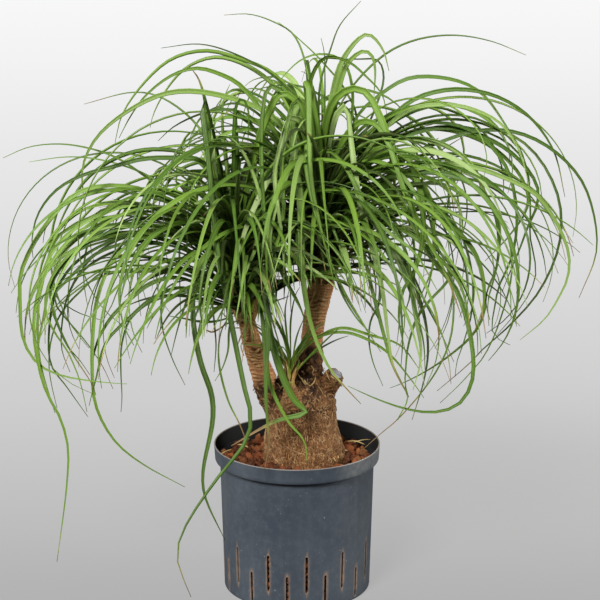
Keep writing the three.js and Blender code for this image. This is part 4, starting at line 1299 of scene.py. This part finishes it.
def build_pot(material):
    pot = mesh_piece("culture_pot", *lathe(pot_outline(), POT_SIDES), material, smooth=False)
    cutter = slot_cutter()
    cut = pot.modifiers.new("slots", "BOOLEAN")
    cut.object, cut.operation, cut.solver = cutter, "DIFFERENCE", "EXACT"
    apply_modifiers(pot)
    bpy.data.objects.remove(cutter)
    mark_pot(pot.data)
    pot.data.shade_smooth()
    bpy.context.view_layer.objects.active = pot
    pot.select_set(True)
    bpy.ops.object.shade_smooth_by_angle(angle=CREASE_ANGLE)
    pot.select_set(False)
    return pot


# Clay granules

def unit_sphere(subdivisions):
    work = bmesh.new()
    bmesh.ops.create_icosphere(work, subdivisions=subdivisions, radius=1)
    corners = np.array([v.co for v in work.verts])
    faces = [tuple(v.index for v in f.verts) for f in work.faces]
    work.free()
    return corners, faces


def pebble(base, middle, radius, chance):
    """A lumpy, squashed and turned ball."""
    turn, _ = np.linalg.qr(chance.normal(size=(3, 3)))
    phases = chance.uniform(0, 6.28, 6)
    lump = 1 + sum(size * np.sin(base @ np.array(waves) + phase)
                   for (size, waves), phase in zip(PEBBLE_LUMPS, phases))
    squash = chance.uniform(*PEBBLE_SQUASH, 3)
    return middle + (base * lump[:, None] * squash * radius) @ turn.T


def inner_radius_at(height):
    """The pot's inside, narrow below the shoulder and wide within the rim band."""
    radii = [BASE_RADIUS, NECK_RADIUS, BAND_FOOT_RADIUS]
    return np.interp(height, [0, SHOULDER_LEVEL, BAND_FOOT], radii) - POT_WALL


def top_pebbles(chance):
    """Granules in two layers over the bed, round the trunk: place, radius and painted shade."""
    row_pitch = PEBBLE_PITCH * math.sqrt(3) / 2
    rows = int(RIM_RADIUS / row_pitch) + 1
    middle, room = CAUDEX_ROOM
    for layer, drop in PEBBLE_LAYERS:
        for row in range(-rows, rows + 1):
            for column in range(-rows, rows + 1):
                x = (column + (row % 2) / 2 + layer / 3) * PEBBLE_PITCH
                x += chance.uniform(-PEBBLE_JITTER, PEBBLE_JITTER)
                y = (row + layer / 2) * row_pitch + chance.uniform(-PEBBLE_JITTER, PEBBLE_JITTER)
                radius = within(PEBBLE_RADIUS, chance.uniform() ** SMALL_PEBBLES)
                height = PEBBLE_LEVEL - drop + chance.uniform(-PEBBLE_RISE, PEBBLE_RISE)
                reach = inner_radius_at(height - radius) - radius * WALL_ROOM
                if math.hypot(x, y) < reach and math.hypot(x - middle, y) > room + radius * 0.6:
                    yield np.array([x, y, height]), radius, LOWER_LAYER_SHADE * layer


def slot_pebbles(chance):
    """Granules that show in the slots, stacked up behind each of them."""
    for low, high, heading in slots():
        height = low - 2
        while height < high + 4:
            radius = within(PEBBLE_RADIUS, chance.uniform()) * SLOT_PEBBLE_SIZE
            wall = BASE_RADIUS + 5 * height / POT_HEIGHT - POT_WALL
            out = wall - radius * 1.12 - chance.uniform(0, 1.5)
            side = chance.uniform(-1.6, 1.6)
            place = out * outwards(heading) + side * outwards(heading + math.pi / 2)
            place[2] = max(height, POT_WALL + radius * 1.15)
            yield place, radius, SLOT_PEBBLE_SHADE
            height += radius * 1.5


def build_granules(material):
    chance = np.random.RandomState(PEBBLE_SEED)
    parts, tones, painted_shades = [], [], []
    for places, subdivisions in ((list(top_pebbles(chance)), 3), (list(slot_pebbles(chance)), 2)):
        base, pattern = unit_sphere(subdivisions)
        for middle, radius, gloom in places:
            corners = pebble(base, middle, radius, chance)
            parts.append((corners, pattern))
            sunk = (middle[2] - corners[:, 2]) / radius
            # Painted shade: each granule darker on its lower half, and more so in the lower layer and
            # behind the slots
            painted_shades.append(np.clip(gloom + 0.2 + sunk * 0.8, 0, 1))
            tones.append(np.full(len(base), chance.uniform()))
    marks = {"tone": np.concatenate(tones), "gloom": np.concatenate(painted_shades)}
    return joined_piece("clay_pebbles", parts, material, marks)


def build_bed(material):
    """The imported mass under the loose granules, with a rough top and side."""
    wall, top = BASE_RADIUS - POT_WALL, BED_LEVEL - BED_DEPTH
    inner = [(0, POT_WALL + 0.4), (wall - 7, POT_WALL + 0.4), (wall - 6, 8)]
    inner += [(wall - 5.5 + 5 * t, 8 + (BED_LEVEL - 18) * t) for t in np.linspace(0.1, 1, 24)]
    inner += [(r, top) for r in np.linspace(93, 30, 12)]
    corners, faces = lathe([*inner, (0, top)], BED_SIDES)
    shift = np.array([noise.noise(Vector(c * 0.13)) for c in corners])
    corners[:, 2] += np.where(corners[:, 2] > top - 3, shift * 3, 0)
    corners[:, :2] *= (1 + 0.012 * shift)[:, None]
    marks = {"tone": np.clip(0.3 + shift * 0.4, 0, 1)}
    return mesh_piece("clay_bed", corners, faces, material, marks)


def build_scraps(material):
    """Dry leaf scraps lying on the granules."""
    chance = np.random.RandomState(SCRAP_SEED)
    parts = []
    for px, py in SCRAPS:
        middle = seen_on_level(px, py, SCRAP_LEVEL)
        heading = chance.uniform(0, math.pi)
        reach = chance.uniform(7, 15)
        step = (outwards(heading) + [0, 0, chance.uniform(-0.08, 0.2)]) * reach
        bow = np.array([0, 0, chance.uniform(0.5, 3)])
        line = curve_through([middle - step, middle + bow, middle + step], 5)
        parts.append(thread(line, chance.uniform(0.6, 1.1)))
    return joined_piece("dry_scraps", parts, material)


# Trunk

def stacked(sections, sides):
    """Level rings on a leaning axis, smoothed between the listed sections."""
    table = np.array(sections, float)
    heights = np.arange(table[0, 0], table[-1, 0] + SECTION_SPACING / 2, SECTION_SPACING)
    line = curve_through(table[:, [1, 2, 3]], 12)
    levels = curve_through(np.stack([table[:, 0]] * 3, 1), 12)[:, 0]
    x, y, radii = (np.interp(heights, levels, line[:, k]) for k in range(3))
    turns = even_turns(sides)
    return solid([ring((x[k], y[k], heights[k]), radii[k], turns) for k in range(len(heights))])


def swept(sections, sides, steps=6):
    """Rings square to a bent axis through the listed sections."""
    table = np.array(sections, float)[:, [1, 2, 0, 3]]
    line = curve_through(table[:, :3], steps)
    radii = np.interp(np.arange(len(line)), np.arange(len(table)) * steps, table[:, 3])
    return tube(line, radii, even_turns(sides), BRANCH_LEAN)


def root_sections():
    for index in range(ROOT_COUNT):
        turn = index + ROOT_UNEVENNESS * math.sin(index * GOLDEN_ANGLE)
        out = outwards(2 * math.pi * turn / ROOT_COUNT)
        yield [(z, ROOT_MIDDLE + reach * out[0], reach * out[1], r) for z, reach, r in ROOT_PLACES]


def stem_weight(corners, sections, levels):
    """How much a corner belongs to a stem above its fork, 0 to 1."""
    table = np.array(sections, float)
    x, y, height = corners.T
    axis_x, axis_y, radius = (np.interp(height, table[:, 0], table[:, k]) for k in (1, 2, 3))
    near = np.hypot(x - axis_x, y - axis_y) < radius + STEM_MARGIN
    return smooth_step(*levels, height) * near


def bark_noise(corners, shift, scale, stretch):
    places = (corners + shift) * scale * [1, 1, stretch]
    return np.array([noise.noise(Vector(place)) for place in places])


def build_trunk(material):
    parts = [stacked(CAUDEX, SIDES["caudex"])]
    parts += [stacked(stem, SIDES["stem"]) for stem in (LEFT_STEM, RIGHT_STEM)]
    parts += [swept(branch, SIDES["branch"]) for branch in (CUT_BRANCH, SHOOT_STEM)]
    parts += [swept(sections, SIDES["root"]) for sections in root_sections()]
    trunk = joined_piece("trunk_bark", parts, None)
    weld = trunk.modifiers.new("weld", "REMESH")
    weld.mode, weld.voxel_size = "VOXEL", TRUNK_VOXEL * MM
    soften = trunk.modifiers.new("soften", "SMOOTH")
    soften.factor, soften.iterations = TRUNK_SOFTENING
    apply_modifiers(trunk)
    shape_bark(trunk.data)
    trunk.data.materials.clear()
    trunk.data.materials.append(material)
    trunk.data.shade_smooth()
    return trunk


def shape_bark(mesh):
    """Moves the skin by the bark's relief, and marks where each kind of bark is and where painted shade
    darkens the hollows and cracks.
    """
    corners = read_corners(mesh, "co") / MM
    x, y, height = corners.T
    ringed = np.maximum(stem_weight(corners, LEFT_STEM, LEFT_FORK),
                        stem_weight(corners, RIGHT_STEM, RIGHT_FORK))
    from_shoot = np.hypot(x - SHOOT_AXIS[0], y - SHOOT_AXIS[1])
    near_shoot = from_shoot < np.interp(height, *SHOOT_REACH)
    shoot = near_shoot * smooth_step(*SHOOT_LEVELS, height)
    fresh = near_shoot * smooth_step(*FRESH_LEVELS, height)
    stub = smooth_step(*STUB_SIDE, x) * smooth_step(*STUB_LEVELS, height) * (height < STUB_TOP)
    knobby = smooth_step(*KNOBBY_LEVELS, height) * (1 - ringed) * (1 - shoot) * (1 - 0.3 * stub)
    lumps, knobs, fibres, wobble, break_up = (bark_noise(corners, *wave) for wave in BARK_WAVES)
    scars = np.sin(2 * math.pi * (height + 5.5 * wobble + 2.4 * break_up) / SCAR_PITCH)
    ridges = np.sin(2 * math.pi * (height + 4 * wobble + 2.5 * break_up) / SHOOT_PITCH)
    relief = LUMP_RISE * lumps * (1 - ringed) + KNOB_RISE * np.abs(knobs) * knobby
    relief += FIBRE_RISE * fibres * (1 - 0.5 * ringed) + ringed * (0.5 + 0.6 * break_up) * scars
    relief += (SHOOT_RISE * shoot + STUB_RISE * stub) * ridges
    sunk, hollow_shade = hollows(corners, shoot)
    move_corners(mesh, (relief - sunk) * (1 - 0.45 * shoot))
    # Painted shade in the cracks between the knobs: darker, and less pale
    crack_shade = smooth_step(0.10, -0.10, np.abs(knobs) * 2.0 - 0.34 + 0.6 * lumps) * knobby
    pale = np.maximum(0.75 * shoot, 0.6 * stub) * (1 - fresh) * (0.75 + 0.45 * ridges)
    marks = {
        "ring": ringed, "fresh": fresh, "dark": hollow_shade + 0.75 * crack_shade,
        "pale": pale - 0.4 * crack_shade, "scar": 0.5 + (0.4 + 0.8 * break_up) * scars,
    }
    set_marks(mesh, {name: np.clip(values, 0, 1) for name, values in marks.items()})


def hollows(corners, shoot):
    """How deep the skin sinks in the hollows of the fork, and how much painted shade darkens it there.
    """
    x, y, height = corners.T
    sunk, dark = np.zeros(len(corners)), np.zeros(len(corners))
    for middle, level, radius, depth, darkness in SHADED_HOLLOWS:
        near = 1 - smooth_step(*HOLLOW_EDGE, np.hypot(x - middle, height - level) / radius)
        near = near * (y < HOLLOW_BACK) * (1 - shoot)
        sunk += depth * near
        dark = np.maximum(dark, near * darkness)
    return sunk, dark


def move_corners(mesh, relief):
    """Moves each corner of a mesh outwards, in millimetres."""
    moved = read_corners(mesh, "co") + read_corners(mesh, "normal") * relief[:, None] * MM
    mesh.vertices.foreach_set("co", moved.astype(np.float32).ravel())
    mesh.update()


def bark_hit(tree, angle, height):
    """The bark's surface at a heading and height, met from outside."""
    out = outwards(angle)
    return hit_on(tree, np.array([FORK_MIDDLE, 0, height]) + out * OUTSIDE, -out)


def build_flakes(tree, material):
    """Torn chips of bark that stand off the fork and its surroundings."""
    chance = np.random.RandomState(FLAKES["seed"])
    lowest, highest = FLAKES["levels"]
    parts = []
    for _ in range(FLAKES["count"]):
        angle = chance.uniform(0, 2 * math.pi)
        height = chance.normal(FLAKES["level"], FLAKES["spread"])
        place, normal = bark_hit(tree, angle, height)
        if place is None or not lowest < height < highest:
            continue
        along = unit(np.cross(normal, chance.normal(size=3)))
        side = np.cross(normal, along)
        long, wide, lift = (chance.uniform(*FLAKES[key]) for key in ("long", "wide", "lift"))
        bend = place + along * long * 0.5 + normal * lift * 0.3
        line = curve_through([place, bend, place + along * long + normal * lift], 3)
        halves = wide / 2 * (1 - 0.6 * np.linspace(0, 1, len(line)))
        upper = normal * FLAKES["thick"]
        parts.append(solid([[point - side * half, point + side * half,
                             point + side * half + upper, point - side * half + upper]
                            for point, half in zip(line, halves)]))
    return joined_piece("bark_flakes", parts, material, smooth=False)


def build_fibres(tree, material):
    """Loose curly fibres lying on the swollen base."""
    chance = np.random.RandomState(FIBRES["seed"])
    parts = []
    for _ in range(FIBRES["count"]):
        angle, height = chance.uniform(0, 2 * math.pi), chance.uniform(*FIBRES["levels"])
        heading, bend = chance.uniform(*FIBRES["heading"]), chance.uniform(*FIBRES["bend"])
        line = []
        for _ in range(FIBRES["points"]):
            place, normal = bark_hit(tree, angle, height)
            if place is None:
                break
            line.append(place + normal * chance.uniform(*FIBRES["lift"]))
            angle += math.cos(heading) * FIBRES["step"] / FIBRES["axis"]
            height += math.sin(heading) * FIBRES["step"]
            heading += bend
        if len(line) == FIBRES["points"]:
            parts.append(thread(np.array(line), chance.uniform(*FIBRES["radius"])))
    return joined_piece("bark_fibres", parts, material)


def build_straws(tree, material):
    """Pale straws: some on the bark of the fork, others at the foot of the left crown."""
    parts = []
    for radius, passes in FORK_STRAWS:
        rays = [hit_on(tree, EYE, seen_at(px, py, 0) - EYE) for px, py in picture_points(passes)]
        line = [place + normal * (radius + 0.4) for place, normal in rays if place is not None]
        if len(line) > 2:
            parts.append(thread(curve_through(line, 4), radius))
    for radius, passes in FOOT_STRAWS:
        points = picture_points(passes)
        depths = np.linspace(*FOOT_STRAW_DEPTHS, len(points))
        line = [seen_at(px, py, depth) for (px, py), depth in zip(points, depths)]
        parts.append(thread(curve_through(line, 4), radius))
    return joined_piece("fork_straws", parts, material)


def build_seal(material):
    """The wound seal: a low cap with a wavy edge on the end of the cut branch."""
    end, before = (np.array([x, y, z], float) for z, x, y, _ in (CUT_BRANCH[-1], CUT_BRANCH[-2]))
    along = unit(end - before)
    across = unit(np.cross(BRANCH_LEAN, along))
    third = np.cross(along, across)
    turns = even_turns(SEAL_SIDES)
    rings = []
    for reach, rise in SEAL_PROFILE:
        wave = 1 + sum(size * np.sin(count * turns + reach * shift)
                       for size, count, shift in SEAL_WAVES)
        rings.append(ring(end + along * rise, SEAL_RADIUS * reach * wave, turns, across, third))
    return mesh_piece("cut_face", *solid(rings), material)


def build_core(name, core, material):
    """The leafy column inside a crown, drawn in at its foot to meet the stem without a ledge."""
    turns = even_turns(CORE_SIDES)
    rings = []
    for share in np.linspace(0, 1, 20):
        drawn_in = within((CORE_FOOT, 1), smooth_step(0, CORE_FOOT_END, share))
        radius = core_radius(core, share) * (CORE_TOP if share == 1 else drawn_in)
        middle = within((core["foot"], core["top"]), share)
        middle = middle - [0, 0, CORE_SINK if share == 0 else 0]
        rings.append(ring(middle, radius, turns))
    return mesh_piece(name, *solid(rings), material)


# Stage

def add_light(name, kind, place, aim, **settings):
    """A light at a place that shines towards its aim."""
    light = bpy.data.lights.new(name, kind)
    for key, value in settings.items():
        setattr(light, key, value)
    lamp = bpy.data.objects.new(name, light)
    lamp.location = place
    lamp.rotation_euler = (Vector(aim) - Vector(place)).to_track_quat("-Z", "Y").to_euler()
    bpy.context.scene.collection.objects.link(lamp)


def floor_material():
    """A studio floor that glows with painted light, brightening towards the back as the picture's
    backdrop does.
    """
    m = Nodes("pale_floor")
    depth = m.add("ShaderNodeSeparateXYZ", {"Vector": m.place()}).outputs["Y"]
    depths = [seen_on_level(MIDDLE, py, 0)[1] * MM for py, _ in FLOOR_GREYS]
    near, far = depths[0], depths[-1]
    stops = [((place - near) / (far - near), rgb(grey, grey, grey)[0] - FLOOR_LIT)
             for place, (_, grey) in zip(depths, FLOOR_GREYS)]
    # Painted light: the floor glows, brighter towards the back
    shade = m.ramp(m.range(depth, near, far), stops, lambda grey: (grey, grey, grey, 1))
    base = (FLOOR_BASE, FLOOR_BASE, FLOOR_BASE, 1)
    return m.surface(base, 0.9, 0.0, glow=shade)


def build_floor():
    reach = FLOOR_REACH
    corners = [(-reach, -reach, 0), (reach, -reach, 0), (reach, reach, 0), (-reach, reach, 0)]
    floor = mesh_piece("floor", corners, [(0, 1, 2, 3)], floor_material())
    floor.visible_diffuse = floor.visible_glossy = False


def build_camera():
    camera = bpy.data.cameras.new("camera")
    camera.sensor_width = SENSOR_WIDTH
    camera.lens = SENSOR_WIDTH * FOCAL / (2 * MIDDLE)
    eye = bpy.data.objects.new("camera", camera)
    eye.location = EYE * MM
    eye.rotation_euler = (math.pi / 2 - PITCH, 0, 0)
    bpy.context.scene.collection.objects.link(eye)
    bpy.context.scene.camera = eye


def build_stage():
    scene = bpy.context.scene
    scene.view_settings.view_transform = "Standard"
    world = bpy.data.worlds.new("soft_room")
    world.use_nodes = True
    room = world.node_tree.nodes["Background"].inputs
    room["Color"].default_value = ROOM_COLOR
    room["Strength"].default_value = ROOM_LIGHT
    scene.world = world
    build_floor()
    add_light("key", "SUN", KEY_PLACE, (0, 0, 0), energy=KEY_POWER, angle=KEY_SPREAD)
    for name, (power, place) in SIDE_LIGHTS.items():
        add_light(name, "AREA", place, SIDE_AIM, energy=power, color=SIDE_COLOR, shape="DISK",
                  size=SIDE_SIZE)
    build_camera()


# The whole

def settle(piece, slot, *nodes):
    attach(piece, "root")
    if nodes:
        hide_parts(*nodes)


def build_pot_and_trunk(straw):
    fibre = dry_material("fibre", (194, 160, 114), (108, 74, 43))
    flake = dry_material("flake", (186, 148, 104), (72, 46, 30))
    settle(build_pot(plastic_material()), "pot_plastic", "pot")
    settle(build_bed(shaded_bed_material()), "fired_clay")
    settle(build_granules(clay_material()), "fired_clay", "clay_granules")
    trunk = build_trunk(bark_material())
    tree = BVHTree.FromObject(trunk, bpy.context.evaluated_depsgraph_get())
    settle(trunk, "bark", "trunk")
    settle(build_fibres(tree, fibre), "bark")
    settle(build_flakes(tree, flake), "bark")
    settle(build_straws(tree, straw), "bark")
    settle(build_seal(seal_material()), "cut_wood", "cut_seal")


def build_crown(name, core, leaf, husk, sheath, straw):
    seed, leaves, loose = core["seed"], leaves_of(core, crown_leaf), loose_leaves_of(core)
    settle(build_core(f"core_{name}", core, husk), "leaf")
    settle(leaf_piece(f"leaves_{name}", leaves, leaf, seed), "leaf", f"crown_{name}")
    settle(leaf_piece(f"loose_leaves_{name}", loose, leaf, seed + 5, LOOSE_STATIONS), "leaf")
    bases, sheaths, dead = (foot_leaves(core, kind) for kind in (BASES, SHEATHS, DEAD_LEAVES))
    settle(leaf_piece(f"leaf_bases_{name}", bases, husk, seed), "young_leaf")
    settle(leaf_piece(f"sheaths_{name}", sheaths, sheath, seed), "young_leaf")
    settle(leaf_piece(f"dead_leaves_{name}", dead, straw, seed), "leaf")


def build_shoot(husk, sheath):
    young, seed = leaf_material("leaf_young", YOUNG_LEAF), TUFT["seed"]
    leaves, sheaths = leaves_of(TUFT, tuft_leaf), foot_leaves(TUFT, SHOOT_SHEATHS)
    settle(build_core("core_shoot", TUFT, husk), "young_leaf")
    settle(leaf_piece("sheaths_shoot", sheaths, sheath, seed), "young_leaf")
    settle(leaf_piece("leaves_shoot", leaves, young, seed), "young_leaf", "side_shoot")


def main():
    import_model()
    build_stage()
    straw = dry_material("straw", (206, 184, 128), (170, 136, 84))
    husk = dry_material("husk", (140, 112, 58), (72, 44, 24))
    leaf, sheath = leaf_material("leaf_green", GREEN_LEAF), sheath_material()
    build_pot_and_trunk(straw)
    for name, core in CROWNS.items():
        build_crown(name, core, leaf, husk, sheath, straw)
    build_shoot(husk, sheath)
    settle(build_scraps(straw), "leaf")


main()
